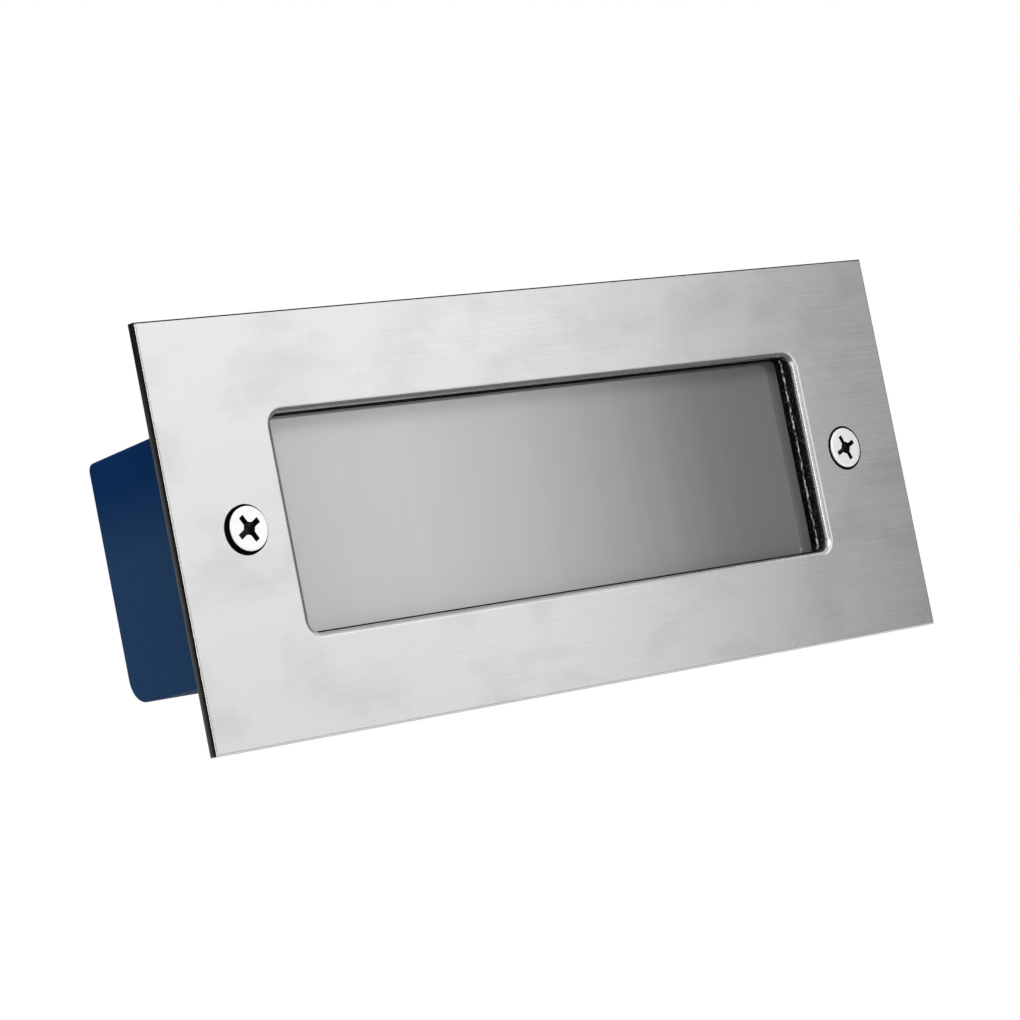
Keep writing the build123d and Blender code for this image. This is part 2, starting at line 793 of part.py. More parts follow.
with BuildPart() as terminal_body:
    with BuildSketch(at_depth(inner_back_depth)):
        with Locations((terminal_centre_x, 0)):
            Rectangle(terminal_length, terminal_height)
    extrude(amount=terminal_depth)
    chamfer(terminal_body.faces().sort_by(Axis.Y)[0].edges(), terminal_edge_chamfer)
    lug_back = inner_back_depth - terminal_boss_height
    with BuildSketch(at_depth(lug_back)):
        with Locations((terminal_centre_x, 0)):
            SlotOverall(
                terminal_height + 2 * terminal_lug_length, terminal_lug_width, rotation=90
            )
    extrude(amount=terminal_lug_thickness)
    slot_front_x = terminal_left_x + terminal_end_wall - lever_side_clearance
    with BuildSketch(at_depth(terminal_front_depth + terminal_slot_depth)):
        with Locations(*pole_places):
            with Locations(((slot_front_x + terminal_right_x) / 2, 0)):
                Rectangle(terminal_right_x - slot_front_x, terminal_slot_width)
    extrude(amount=terminal_slot_depth, mode=Mode.SUBTRACT)
    cavity_left_x = terminal_left_x + terminal_end_wall
    with BuildSketch(at_depth(terminal_cavity_back)):
        with Locations(*pole_places):
            with Locations(((cavity_left_x + terminal_right_x) / 2, 0)):
                Rectangle(terminal_right_x - cavity_left_x, terminal_cavity_width)
    extrude(amount=terminal_cavity_height, mode=Mode.SUBTRACT)
    with BuildSketch(Plane.YZ.offset(cavity_left_x)):
        with Locations((lead_in_terminal_depth, 0)):
            with GridLocations(1, terminal_pole_spacing, 1, 2):
                Circle(lead_hole_radius)
    extrude(amount=-terminal_end_wall, mode=Mode.SUBTRACT)
    with BuildSketch(at_depth(lug_back)):
        with Locations(*terminal_lug_places):
            Circle(small_screw_radius + running_clearance)
    extrude(amount=terminal_lug_thickness, mode=Mode.SUBTRACT)
    with BuildSketch(Plane.XY):
        with Locations((lever_pivot_x, lever_pivot_depth)):
            Circle(lever_pin_radius + seated_clearance)
    extrude(amount=terminal_height, both=True, mode=Mode.SUBTRACT)
pieces["terminal_body"] = terminal_body
pieces["terminal_screws"] = pan_head_screws(
    terminal_lug_places, lug_back - terminal_lug_thickness
)

with BuildPart() as terminal_contacts:
    with BuildSketch(at_depth(terminal_cavity_back)):
        with Locations(*pole_places):
            with Locations(((cavity_left_x + terminal_right_x) / 2, 0)):
                Rectangle(
                    terminal_right_x - cavity_left_x - 2 * lever_side_clearance,
                    terminal_cavity_width - 2 * seated_clearance,
                )
    extrude(amount=contact_thickness)
pieces["terminal_contacts"] = terminal_contacts

with BuildPart() as lever_pin:
    with BuildSketch(Plane.XY):
        with Locations((lever_pivot_x, lever_pivot_depth)):
            Circle(lever_pin_radius)
    extrude(amount=terminal_height / 2 - lever_side_clearance, both=True)
pieces["lever_pin"] = lever_pin


def terminal_lever(level):
    """A wire-clamping lever, lying closed in its slot and hinged on the pin."""
    arm_front = lever_pivot_depth - lever_hub_radius
    arm_tip_x = lever_pivot_x + lever_length
    half_width = terminal_slot_width / 2 - lever_side_clearance
    with BuildPart() as lever:
        with BuildSketch(Plane.XY.offset(level * terminal_pole_spacing / 2)):
            with Locations((lever_pivot_x, lever_pivot_depth)):
                Circle(lever_hub_radius)
            with BuildLine():
                Polyline(
                    (lever_pivot_x, arm_front),
                    (arm_tip_x - 2 * lever_tip_rise, arm_front),
                    (arm_tip_x, arm_front - lever_tip_rise),
                    (arm_tip_x, arm_front + lever_thickness),
                    (lever_pivot_x, arm_front + lever_thickness),
                    close=True,
                )
            make_face()
            with Locations((lever_pivot_x, lever_pivot_depth)):
                Circle(lever_pin_radius + running_clearance, mode=Mode.SUBTRACT)
        extrude(amount=half_width, both=True)
    return lever


pieces["upper_terminal_lever"] = terminal_lever(1)
pieces["lower_terminal_lever"] = terminal_lever(-1)

# ================================================================ internal leads

led_pad_x = -board_length / 2 + board_pad_inset
led_lead_top_depth = board_front_depth - led_lead_loop_height
for colour, level in (("red", 1), ("black", -1)):
    tray_level = level * led_lead_spacing / 2
    supply_level = level * supply_lead_spacing / 2
    pole_level = level * terminal_pole_spacing / 2
    pieces[f"led_lead_{colour}"] = wire_lead(
        (driver_left_end + lead_on_board_from_end, driver_board_front, tray_level),
        (driver_left_end + lead_on_board_from_end, driver_lead_depth, tray_level),
        (grommet_x, driver_lead_depth, tray_level),
        (grommet_x, led_lead_top_depth, tray_level),
        (led_pad_x, led_lead_top_depth, level * board_pad_spacing / 2),
        (led_pad_x, board_front_depth, level * board_pad_spacing / 2),
    )
    pieces[f"supply_lead_{colour}"] = wire_lead(
        (driver_right_end - lead_on_board_from_end, driver_board_front, supply_level),
        (driver_right_end - lead_on_board_from_end, driver_lead_depth, supply_level),
        (driver_right_end + supply_lead_straight, driver_lead_depth, supply_level),
        (terminal_left_x - supply_lead_drop_before_block, lead_in_terminal_depth, pole_level),
        (terminal_left_x + supply_lead_in_block, lead_in_terminal_depth, pole_level),
    )

# ================================================================ cable gland

gland_flange_front = box_depth + gland_washer_thickness
gland_flange_back = gland_flange_front + gland_flange_thickness
gland_body_end = gland_flange_back + gland_outer_length
gland_seal_front = gland_body_end - gland_throat_depth
gland_cap_front = gland_flange_back + gland_cap_gap
gland_cap_back = gland_cap_front + gland_cap_length


def hexagon(flats, front_depth, back_depth):
    """A hexagonal block round the gland's axis, to be added to the current part."""
    with BuildSketch(at_depth(back_depth)) as outline:
        with Locations((gland_x, 0)):
            RegularPolygon(flats / 2, 6, major_radius=False)
    extrude(outline.sketch, amount=back_depth - front_depth)


def gland_bore(radius, front_depth, back_depth):
    """A round hole on the gland's axis, cut from the current part."""
    with BuildSketch(at_depth(back_depth)) as outline:
        with Locations((gland_x, 0)):
            Circle(radius)
    extrude(outline.sketch, amount=back_depth - front_depth, mode=Mode.SUBTRACT)


def gland_barrel(radius, front_depth, back_depth):
    """A round barrel on the gland's axis, added to the current part."""
    with BuildSketch(at_depth(back_depth)) as outline:
        with Locations((gland_x, 0)):
            Circle(radius)
    extrude(outline.sketch, amount=back_depth - front_depth)


gland_body_front = inner_back_depth - gland_inner_length + box_wall
with BuildPart() as gland_body:
    gland_barrel(gland_thread_radius, gland_body_front, gland_flange_front)
    hexagon(gland_flange_flats, gland_flange_front, gland_flange_back)
    gland_barrel(gland_outer_radius, gland_flange_back, gland_body_end)
    gland_bore(gland_bore_radius, gland_body_front, gland_body_end)
    gland_bore(gland_throat_radius + running_clearance, gland_seal_front, gland_body_end)
pieces["gland_body"] = gland_body

with BuildPart() as gland_washer:
    gland_barrel(gland_washer_radius, box_depth, gland_flange_front)
    gland_bore(gland_thread_radius + hole_clearance, box_depth, gland_flange_front)
pieces["gland_washer"] = gland_washer

with BuildPart() as gland_locknut:
    hexagon(gland_locknut_flats, inner_back_depth - gland_locknut_thickness, inner_back_depth)
    gland_bore(
        gland_thread_radius + seated_clearance,
        inner_back_depth - gland_locknut_thickness,
        inner_back_depth,
    )
pieces["gland_locknut"] = gland_locknut

gland_seal_back = gland_body_end + gland_seal_proud
with BuildPart() as gland_seal:
    gland_barrel(gland_throat_radius, gland_seal_front + seated_clearance, gland_seal_back)
    chamfer(gland_seal.faces().sort_by(Axis.Y)[-1].edges(), gland_seal_chamfer)
    gland_bore(gland_cable_radius, gland_seal_front + seated_clearance, gland_seal_back)
pieces["gland_seal"] = gland_seal

with BuildPart() as gland_cap:
    hexagon(gland_cap_flats, gland_cap_front, gland_cap_front + gland_cap_hex_length)
    gland_barrel(gland_cap_flats / 2, gland_cap_front, gland_cap_back)
    fillet(gland_cap.faces().sort_by(Axis.Y)[-1].edges(), gland_cap_crown_radius)
    gland_bore(gland_outer_radius + running_clearance, gland_cap_front, gland_body_end)
    gland_bore(gland_throat_radius + seated_clearance, gland_body_end, gland_seal_back)
    gland_bore(gland_cap_mouth_radius, gland_seal_back, gland_cap_back)
pieces["gland_cap"] = gland_cap

# ================================================================ one file for each piece

os.makedirs("parts", exist_ok=True)
for piece_name, piece in pieces.items():
    piece.part.label = piece_name
    export_step(piece.part, f"parts/{piece_name}.step")
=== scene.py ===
import json
import math

import bmesh
import bpy
from mathutils import Matrix, Vector


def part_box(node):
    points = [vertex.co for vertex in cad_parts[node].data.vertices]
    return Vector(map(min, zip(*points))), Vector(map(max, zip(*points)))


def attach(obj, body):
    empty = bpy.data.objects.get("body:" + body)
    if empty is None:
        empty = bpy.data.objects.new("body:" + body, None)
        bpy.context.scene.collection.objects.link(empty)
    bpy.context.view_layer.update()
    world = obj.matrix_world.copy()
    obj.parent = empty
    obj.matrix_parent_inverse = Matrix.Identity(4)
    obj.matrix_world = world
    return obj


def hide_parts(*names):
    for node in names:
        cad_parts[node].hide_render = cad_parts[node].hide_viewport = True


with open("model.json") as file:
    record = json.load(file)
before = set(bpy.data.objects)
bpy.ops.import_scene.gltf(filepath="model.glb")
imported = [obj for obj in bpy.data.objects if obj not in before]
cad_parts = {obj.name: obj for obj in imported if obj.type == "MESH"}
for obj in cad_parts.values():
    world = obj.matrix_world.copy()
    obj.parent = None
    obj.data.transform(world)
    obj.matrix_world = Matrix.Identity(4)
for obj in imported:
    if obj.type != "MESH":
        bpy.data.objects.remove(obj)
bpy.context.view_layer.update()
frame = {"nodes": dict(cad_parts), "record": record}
nodes = frame["nodes"]
scene = bpy.context.scene
mm = 0.001
into_wall = Vector((0, 1, 0))
full_turn = 2 * math.pi
quarter_turn = math.pi / 2

# ---------------------------------------------------------------- camera, room and lights
image_width = 1020
focal_length_px = 3560
sensor_width = 36.0
camera_place = (-0.5739, -0.6532, -0.0608)
camera_turn = (93.875, 11.18, -39.67)
camera_near_limit = 0.01
white = (1, 1, 1, 1)
room_light = 0.55
floor_centre = (0, 0, -0.30)
floor_size = (30.0, 30.0)
floor_colour = (0.9, 0.9, 0.9, 1)
floor_glow = 1.15
floor_glow_share = 0.85
lamps = {
    "key": {"place": (-0.7, -1.1, 0.9), "size": (0.6, 0.6), "power": 14},
    "left_strip": {"place": (-1.15, -0.5, 0.0), "size": (0.12, 0.5), "power": 0.9},
}
graded_card_distance = 1.1
graded_card_height = 0.06
graded_card_azimuth = math.radians(44)
to_graded_card = Vector((math.sin(graded_card_azimuth), -math.cos(graded_card_azimuth), 0))
# Cards that only the steel and the glass mirror. Each is as bright along one of its own axes
# as its pairs of place and brightness say, times a share that goes from its foot to its head.
# The graded card stands to the front right, where the plate and the glass mirror it, and the
# others stand round the light, for its rounded edges.
cards = {
    "graded_card": {
        "centre": to_graded_card * graded_card_distance + Vector((0, 0, graded_card_height)),
        "faces": -to_graded_card,
        "size": (1.3, 1.0),
        "along": "X",
        "brightness": (
            (-0.65, 0.20),
            (-0.12, 0.22),
            (-0.06, 0.34),
            (-0.01, 0.82),
            (0.04, 1.22),
            (0.08, 1.24),
            (0.13, 0.98),
            (0.22, 0.88),
            (0.32, 0.95),
            (0.65, 1.0),
        ),
        "foot_and_head": (0.65, 1.35),
    },
    "low_card": {
        "centre": (0.65, 0.275, -0.28),
        "faces": (0, 0, 1),
        "size": (1.7, 2.15),
        "along": "Y",
        "brightness": ((-1.075, 0.95), (-0.75, 0.85), (-0.5, 0.55), (-0.35, 0.3), (1.075, 0.15)),
    },
    "side_card": {
        "centre": (1.25, 0.30, 0.0),
        "faces": (-1, 0, 0),
        "size": (1.5, 1.1),
        "along": "X",
        "brightness": ((-0.75, 0.06), (0.75, 0.06)),
    },
    "left_card": {
        "centre": (-1.35, 0.5, 0.0),
        "faces": (1, 0, 0),
        "size": (3.2, 1.3),
        "along": "X",
        "brightness": ((-1.6, 0.4), (-0.9, 0.36), (-0.5, 0.16), (0.0, 0.02), (1.6, 0.02)),
    },
    "front_card": {
        "centre": (-0.6, -1.5, 0.0),
        "faces": (0.6, 1.5, 0.0),
        "size": (2.1, 1.3),
        "along": "X",
        "brightness": ((-1.05, 0.4), (1.05, 0.45)),
    },
    "upper_card": {
        "centre": (0.2, -0.2, 1.05),
        "faces": (0, 0, -1),
        "size": (2.6, 2.4),
        "along": "X",
        "brightness": ((-1.3, 0.62), (1.3, 0.4)),
    },
}


def add_camera():
    """The camera stands to the left of the plate and a little below its middle."""
    data = bpy.data.cameras.new("camera")
    data.sensor_width = sensor_width
    data.lens = focal_length_px / image_width * sensor_width
    data.clip_start = camera_near_limit
    camera = bpy.data.objects.new("camera", data)
    camera.location = camera_place
    camera.rotation_euler = [math.radians(angle) for angle in camera_turn]
    scene.collection.objects.link(camera)
    scene.camera = camera


def add_lamp(name, place, size, power):
    """A rectangular soft lamp that faces the middle of the plate."""
    data = bpy.data.lights.new(name, "AREA")
    data.shape = "RECTANGLE"
    data.size, data.size_y = size
    data.energy = power
    lamp = bpy.data.objects.new(name, data)
    lamp.location = place
    lamp.rotation_euler = (-Vector(place)).to_track_quat("-Z", "Y").to_euler()
    scene.collection.objects.link(lamp)


def feed(tree, socket, value):
    """Links a socket to another node's output, or gives it a plain value."""
    if isinstance(value, bpy.types.NodeSocket):
        tree.links.new(value, socket)
    else:
        socket.default_value = value


def maths(tree, operation, first, second):
    """The outcome of one operation, such as MULTIPLY, on two values."""
    node = tree.nodes.new("ShaderNodeMath")
    node.operation = operation
    feed(tree, node.inputs[0], first)
    feed(tree, node.inputs[1], second)
    return node.outputs[0]


def mapped(tree, value, start, end, low, high):
    """A value that runs from low to high as another goes from start to end."""
    node = tree.nodes.new("ShaderNodeMapRange")
    tree.links.new(value, node.inputs["Value"])
    node.inputs["From Min"].default_value = start
    node.inputs["From Max"].default_value = end
    node.inputs["To Min"].default_value = low
    node.inputs["To Max"].default_value = high
    return node.outputs["Result"]


def shader_blend(tree, share, first, second):
    """A blend of two shaders."""
    node = tree.nodes.new("ShaderNodeMixShader")
    tree.links.new(share, node.inputs["Fac"])
    tree.links.new(first, node.inputs[1])
    tree.links.new(second, node.inputs[2])
    return node.outputs["Shader"]


def seen_directly(tree):
    """1 for what the camera sees, also in a mirror or through glass, and 0 for diffuse light."""
    path = tree.nodes.new("ShaderNodeLightPath").outputs
    in_glass = maths(tree, "MAXIMUM", path["Is Camera Ray"], path["Is Transmission Ray"])
    return maths(tree, "MAXIMUM", in_glass, path["Is Glossy Ray"])


def white_world():
    """Pure white behind the object and in its metal and glass, and a softer light on it."""
    world = bpy.data.worlds.new("studio")
    world.use_nodes = True
    scene.world = world
    tree = world.node_tree
    tree.nodes.clear()
    glows = []
    for strength in (room_light, 1.0):
        glow = tree.nodes.new("ShaderNodeBackground")
        glow.inputs["Color"].default_value = white
        glow.inputs["Strength"].default_value = strength
        glows.append(glow.outputs["Background"])
    surface = tree.nodes.new("ShaderNodeOutputWorld").inputs["Surface"]
    tree.links.new(shader_blend(tree, seen_directly(tree), *glows), surface)


def stage_paint(name):
    """An empty stage material, with its node tree and the socket for its surface."""
    material = bpy.data.materials.new(name)
    material.use_nodes = True
    material.node_tree.nodes.clear()
    out = material.node_tree.nodes.new("ShaderNodeOutputMaterial")
    return material, material.node_tree, out.inputs["Surface"]


def floor_paint():
    """Pale matt floor that looks white to the camera and keeps a soft shadow."""
    material, tree, surface = stage_paint("floor_paint")
    matt = tree.nodes.new("ShaderNodeBsdfDiffuse")
    matt.inputs["Color"].default_value = floor_colour
    glow = tree.nodes.new("ShaderNodeEmission")
    glow.inputs["Strength"].default_value = floor_glow
    share = maths(tree, "MULTIPLY", seen_directly(tree), floor_glow_share)
    tree.links.new(shader_blend(tree, share, matt.outputs[0], glow.outputs[0]), surface)
    return material


def card_paint(name, size, along, brightness, foot_and_head):
    """A glow that changes along a card, and from its foot to its head."""
    material, tree, surface = stage_paint(name)
    coordinates = tree.nodes.new("ShaderNodeTexCoord")
    axes = tree.nodes.new("ShaderNodeSeparateXYZ")
    tree.links.new(coordinates.outputs["Object"], axes.inputs["Vector"])
    length = size["XY".index(along)]
    height = size[1]
    way = mapped(tree, axes.outputs[along], -length / 2, length / 2, 0, 1)
    fade = tree.nodes.new("ShaderNodeFloatCurve")
    tree.links.new(way, fade.inputs["Value"])
    brightest = max(level for place, level in brightness)
    curve = fade.mapping.curves[0]
    curve.points[0].location = (0, brightness[0][1] / brightest)
    curve.points[-1].location = (1, brightness[-1][1] / brightest)
    for place, level in brightness[1:-1]:
        curve.points.new(place / length + 0.5, level / brightest)
    fade.mapping.update()
    strength = maths(tree, "MULTIPLY", fade.outputs["Value"], brightest)
    rise = mapped(tree, axes.outputs["Y"], -height / 2, height / 2, *foot_and_head)
    glow = tree.nodes.new("ShaderNodeEmission")
    tree.links.new(maths(tree, "MULTIPLY", strength, rise), glow.inputs["Strength"])
    tree.links.new(glow.outputs[0], surface)
    return material


def add_panel(name, centre, size, faces, material):
    """A flat stage panel that faces a direction."""
    mesh = bpy.data.meshes.new(name)
    bm = bmesh.new()
    bmesh.ops.create_grid(bm, x_segments=1, y_segments=1, size=0.5)
    bmesh.ops.scale(bm, vec=(*size, 1), verts=bm.verts)
    bm.to_mesh(mesh)
    bm.free()
    mesh.materials.append(material)
    panel = bpy.data.objects.new(name, mesh)
    panel.location = centre
    panel.rotation_euler = Vector(faces).to_track_quat("Z", "Y").to_euler()
    scene.collection.objects.link(panel)
    return panel


def add_card(name, centre, faces, size, along, brightness, foot_and_head=(1.0, 1.0)):
    """A glowing card that shows in mirrors only and casts no light or shadow."""
    paint = card_paint(f"{name}_glow", size, along, brightness, foot_and_head)
    card = add_panel(name, centre, size, faces, paint)
    card.visible_camera = False
    card.visible_diffuse = False
    card.visible_transmission = False
    card.visible_shadow = False


# ---------------------------------------------------------------- finishes
# a Mix node's colour sockets, which share their names with its other sockets
first_colour_input = 6
second_colour_input = 7
mixed_colour_output = 2
steel_between_streaks = (0.815, 0.815, 0.81)
steel_in_streaks = (0.835, 0.835, 0.83)
steel_in_clouds = (0.68, 0.68, 0.675)
# painted light: a pale, barely metallic strip along the lower edge, in place of the dark that it
# would mirror
painted_pale_steel = (0.93, 0.93, 0.925)
painted_pale_metallic = 0.15
# painted reflection: the edges' black stands for the dark that they mirror, and the grey for the
# scored cut
painted_reflection_black = (0.0005, 0.0005, 0.0005)
torn_steel = (0.2, 0.195, 0.185)
# how far inside the plate's outline an edge's finish starts, and how far inside it is full
end_rim = (0.12 * mm, 0.06 * mm)
# painted reflection: a dark line along the top edge of the plate's face
top_painted_reflection_rim = (0.45 * mm, 0.3 * mm)
bottom_rim = (0.03 * mm, 0.01 * mm)
# painted light: how far the pale strip reaches in from the lower edge
painted_pale_rim = (0.45 * mm, 0.25 * mm)
painted_reflection_depth = 0.8 * mm
# painted shade: from these heights up, the ends turn from the grey cut to black
fully_painted_shade_above = 42 * mm
painted_shade_starts_above = 12 * mm
# painted shade: where the glass starts and ends darkening to the right
glass_painted_shade_start = -48 * mm
glass_painted_shade_end = 56 * mm
# painted reflection: the height over which the box's paler lower blue fades out
box_painted_sheen_height = 18 * mm
plated_shade = 0.9
plated_roughness_spread = (0.8, 1.3)
moulded_shade = 0.94
moulded_roughness_spread = (0.9, 1.1)


class Finish:
    """A surface finish in the making: one shader, fed by patterns on object coordinates."""

    def __init__(self, name, colour, roughness, metallic=0.0, specular=0.5):
        self.material = bpy.data.materials.new(name)
        self.material.use_nodes = True
        self.tree = self.material.node_tree
        self.shader = self.tree.nodes["Principled BSDF"]
        self.shader.inputs["Base Color"].default_value = (*colour, 1)
        self.shader.inputs["Roughness"].default_value = roughness
        self.shader.inputs["Metallic"].default_value = metallic
        self.shader.inputs["Specular IOR Level"].default_value = specular
        self.place = self.tree.nodes.new("ShaderNodeTexCoord").outputs["Object"]

    def axis(self, name):
        """The place along one axis of the piece."""
        split = self.tree.nodes.new("ShaderNodeSeparateXYZ")
        self.tree.links.new(self.place, split.inputs["Vector"])
        return split.outputs[name]

    def grain(self, size, stretch=(1, 1, 1), detail=3.0, roughness=0.55):
        """Cloudy noise whose patches are about size across, drawn out by stretch."""
        mapping = self.tree.nodes.new("ShaderNodeMapping")
        self.tree.links.new(self.place, mapping.inputs["Vector"])
        mapping.inputs["Scale"].default_value = [1 / (size * factor) for factor in stretch]
        noise = self.tree.nodes.new("ShaderNodeTexNoise")
        self.tree.links.new(mapping.outputs["Vector"], noise.inputs["Vector"])
        noise.inputs["Scale"].default_value = 1.0
        noise.inputs["Detail"].default_value = detail
        noise.inputs["Roughness"].default_value = roughness
        return noise.outputs["Fac"]

    def between(self, pattern, low, high, start=0.3, end=0.7):
        """A value that runs from low to high as a pattern goes from start to end."""
        return mapped(self.tree, pattern, start, end, low, high)

    def maths(self, operation, first, second):
        """The outcome of one operation on two values."""
        return maths(self.tree, operation, first, second)

    def blend(self, share, first, second):
        """A colour between two colours or colour sockets."""
        mix = self.tree.nodes.new("ShaderNodeMix")
        mix.data_type = "RGBA"
        feed(self.tree, mix.inputs["Factor"], share)
        for number, colour in ((first_colour_input, first), (second_colour_input, second)):
            is_socket = isinstance(colour, bpy.types.NodeSocket)
            feed(self.tree, mix.inputs[number], colour if is_socket else (*colour, 1))
        return mix.outputs[mixed_colour_output]

    def drive(self, socket_name, pattern):
        """Lets a pattern say one of the shader's values."""
        self.tree.links.new(pattern, self.shader.inputs[socket_name])

    def bump(self, height, strength, depth):
        """Fine relief on the surface."""
        node = self.tree.nodes.new("ShaderNodeBump")
        self.tree.links.new(height, node.inputs["Height"])
        node.inputs["Strength"].default_value = strength
        node.inputs["Distance"].default_value = depth
        self.drive("Normal", node.outputs["Normal"])


def near_edge(finish, place, edge, rim):
    """0 on the plate's face and 1 at one edge of its outline, across the edge's rim."""
    start, full = rim
    return finish.between(place, 0, 1, edge - start, edge - full)


def brushed_steel(finish, streaks, painted_pale_strip):
    """The face's colour: fine streaks and slow darker clouds, and pale where light is painted
    along the lower edge.
    """
    clouds = finish.grain(15 * mm, stretch=(1.5, 1, 1), detail=3.0)
    face = finish.blend(finish.between(streaks, 0, 1), steel_between_streaks, steel_in_streaks)
    face = finish.blend(finish.between(clouds, 0, 0.7, 0.47, 0.72), face, steel_in_clouds)
    return finish.blend(painted_pale_strip, face, painted_pale_steel)


def cut_edge_with_painted_shade(finish, low, high):
    """An edge's colour: painted black reflection near the front, and the grey, scored cut behind
    it, which painted shade turns black higher up.
    """
    torn = finish.between(finish.axis("Y"), 0, 1, low.y + painted_reflection_depth, high.y)
    scores = finish.grain(0.2 * mm, stretch=(1, 1, 14), detail=4.0)
    torn = finish.maths("MULTIPLY", torn, finish.between(scores, 0.5, 1.2))
    # painted shade: higher up, the ends stay black
    below_painted_shade = finish.between(finish.axis("Z"), 1, 0, painted_shade_starts_above, fully_painted_shade_above)
    torn = finish.maths("MULTIPLY", torn, below_painted_shade)
    return finish.blend(torn, painted_reflection_black, torn_steel)


def brushed_stainless():
    """Steel brushed along the plate's length, with cut edges painted dark as reflection and shade,
    and a pale strip painted as light along the lower edge.
    """
    finish = Finish("brushed_stainless", (0.74, 0.74, 0.735), 0.25, metallic=1.0)
    low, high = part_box("face_plate")
    sideways = finish.maths("ABSOLUTE", finish.axis("X"), 0.0)
    upwards = finish.axis("Z")
    downwards = finish.maths("MULTIPLY", upwards, -1.0)
    at_end = near_edge(finish, sideways, high.x, end_rim)
    # painted reflection: a dark line along the face's top edge
    painted_reflection_at_top = near_edge(finish, upwards, high.z, top_painted_reflection_rim)
    at_bottom = near_edge(finish, downwards, -low.z, bottom_rim)
    cut_edge_and_painted_dark = finish.maths("MAXIMUM", finish.maths("MAXIMUM", at_end, painted_reflection_at_top), at_bottom)
    # painted light: the pale strip along the lower edge
    painted_pale_strip = near_edge(finish, downwards, -low.z, painted_pale_rim)
    streaks = finish.grain(0.6 * mm, stretch=(70, 1, 1), detail=4.0, roughness=0.7)
    face = brushed_steel(finish, streaks, painted_pale_strip)
    finish.drive("Base Color", finish.blend(cut_edge_and_painted_dark, face, cut_edge_with_painted_shade(finish, low, high)))
    finish.drive("Metallic", finish.between(painted_pale_strip, 1.0, painted_pale_metallic, 0, 1))
    face_roughness = finish.between(streaks, 0.24, 0.29)
    edge_roughness = finish.maths("MULTIPLY", cut_edge_and_painted_dark, 0.5)
    finish.drive("Roughness", finish.maths("MAXIMUM", face_roughness, edge_roughness))
    scratches = finish.grain(0.08 * mm, stretch=(250, 1, 1), detail=1.0)
    finish.bump(scratches, strength=1.0, depth=0.002 * mm)
    return finish.material


def frosted_glass():
    """Grey satin glass that mirrors the room softly, with painted shade that makes it darker to
    the right.
    """
    finish = Finish("frosted_glass", (0.44, 0.44, 0.44), 0.13, metallic=0.42)
    bands = finish.between(finish.grain(7 * mm, stretch=(1, 1, 40), detail=1.0), 0, 1)
    paler = finish.blend(bands, (0.507, 0.507, 0.51), (0.523, 0.523, 0.523))
    darker = finish.blend(bands, (0.208, 0.208, 0.21), (0.222, 0.222, 0.222))
    # painted shade: the glass darkens to the right
    grade = finish.between(finish.axis("X"), 0, 1, glass_painted_shade_start, glass_painted_shade_end)
    finish.drive("Base Color", finish.blend(grade, paler, darker))
    frost = finish.grain(0.12 * mm, detail=2.0)
    finish.drive("Roughness", finish.between(frost, 0.11, 0.15))
    finish.bump(frost, strength=0.03, depth=0.004 * mm)
    return finish.material


def black_silicone():
    """Black sealant, satin, with a few specks of dust."""
    finish = Finish("black_silicone", (0.002, 0.002, 0.002), 0.35, specular=0.03)
    dust = finish.grain(0.35 * mm, detail=1.0)
    specks = finish.between(dust, 0, 1, 0.66, 0.72)
    finish.drive("Base Color", finish.blend(specks, (0.002, 0.002, 0.002), (0.16, 0.16, 0.155)))
    finish.drive("Roughness", finish.between(dust, 0.25, 0.45))
    finish.bump(finish.grain(0.7 * mm, detail=4.0), strength=0.35, depth=0.06 * mm)
    return finish.material


def sealant_painted_highlight():
    """The shiny skin on the sealant's bead, with a dashed highlight painted in pale where the bead
    is uneven.
    """
    finish = Finish("sealant_painted_highlight", (0.004, 0.004, 0.004), 0.22, specular=0.6)
    lumps = finish.grain(0.5 * mm, stretch=(1, 1, 3), detail=3.0)
    # painted highlight: pale dashes along the bead
    painted_glints = finish.between(lumps, 0.0, 0.5, 0.46, 0.56)
    finish.drive("Base Color", finish.blend(painted_glints, (0.004, 0.004, 0.004), (0.9, 0.9, 0.88)))
    finish.drive("Roughness", finish.between(lumps, 0.15, 0.5))
    finish.bump(lumps, strength=0.8, depth=0.12 * mm)
    return finish.material


def blue_moulding():
    """Dark blue plastic with a fine spark texture, paler lower down where a reflection is painted
    in.
    """
    finish = Finish("blue_moulding", (0.01, 0.035, 0.1), 0.6, specular=0.012)
    mottle = finish.between(finish.grain(2.5 * mm, detail=3.0), 0.6, 1)
    spark = finish.grain(0.3 * mm, detail=2.0)
    speckle = finish.maths("MULTIPLY", mottle, finish.between(spark, 0, 1))
    # painted reflection: the paler blue lower down, a deeper blue higher up
    lower = finish.blend(speckle, (0.012, 0.039, 0.1), (0.019, 0.056, 0.13))
    upper = finish.blend(speckle, (0.001, 0.018, 0.08), (0.001, 0.03, 0.11))
    way_up = finish.between(finish.axis("Z"), 0, 1, 0.0, box_painted_sheen_height)
    finish.drive("Base Color", finish.blend(way_up, lower, upper))
    finish.drive("Roughness", finish.between(spark, 0.5, 0.62))
    finish.bump(spark, strength=0.5, depth=0.04 * mm)
    return finish.material


def plated(name, colour, roughness, metallic=1.0):
    """Bright plated metal with faint handling marks."""
    finish = Finish(name, colour, roughness, metallic=metallic)
    marks = finish.grain(0.5 * mm, stretch=(3, 1, 1), detail=3.0)
    darker = [channel * plated_shade for channel in colour]
    finish.drive("Base Color", finish.blend(finish.between(marks, 0, 1), darker, colour))
    smooth, rough = [roughness * share for share in plated_roughness_spread]
    finish.drive("Roughness", finish.between(marks, smooth, rough))
    finish.bump(marks, strength=0.06, depth=0.01 * mm)
    return finish.material


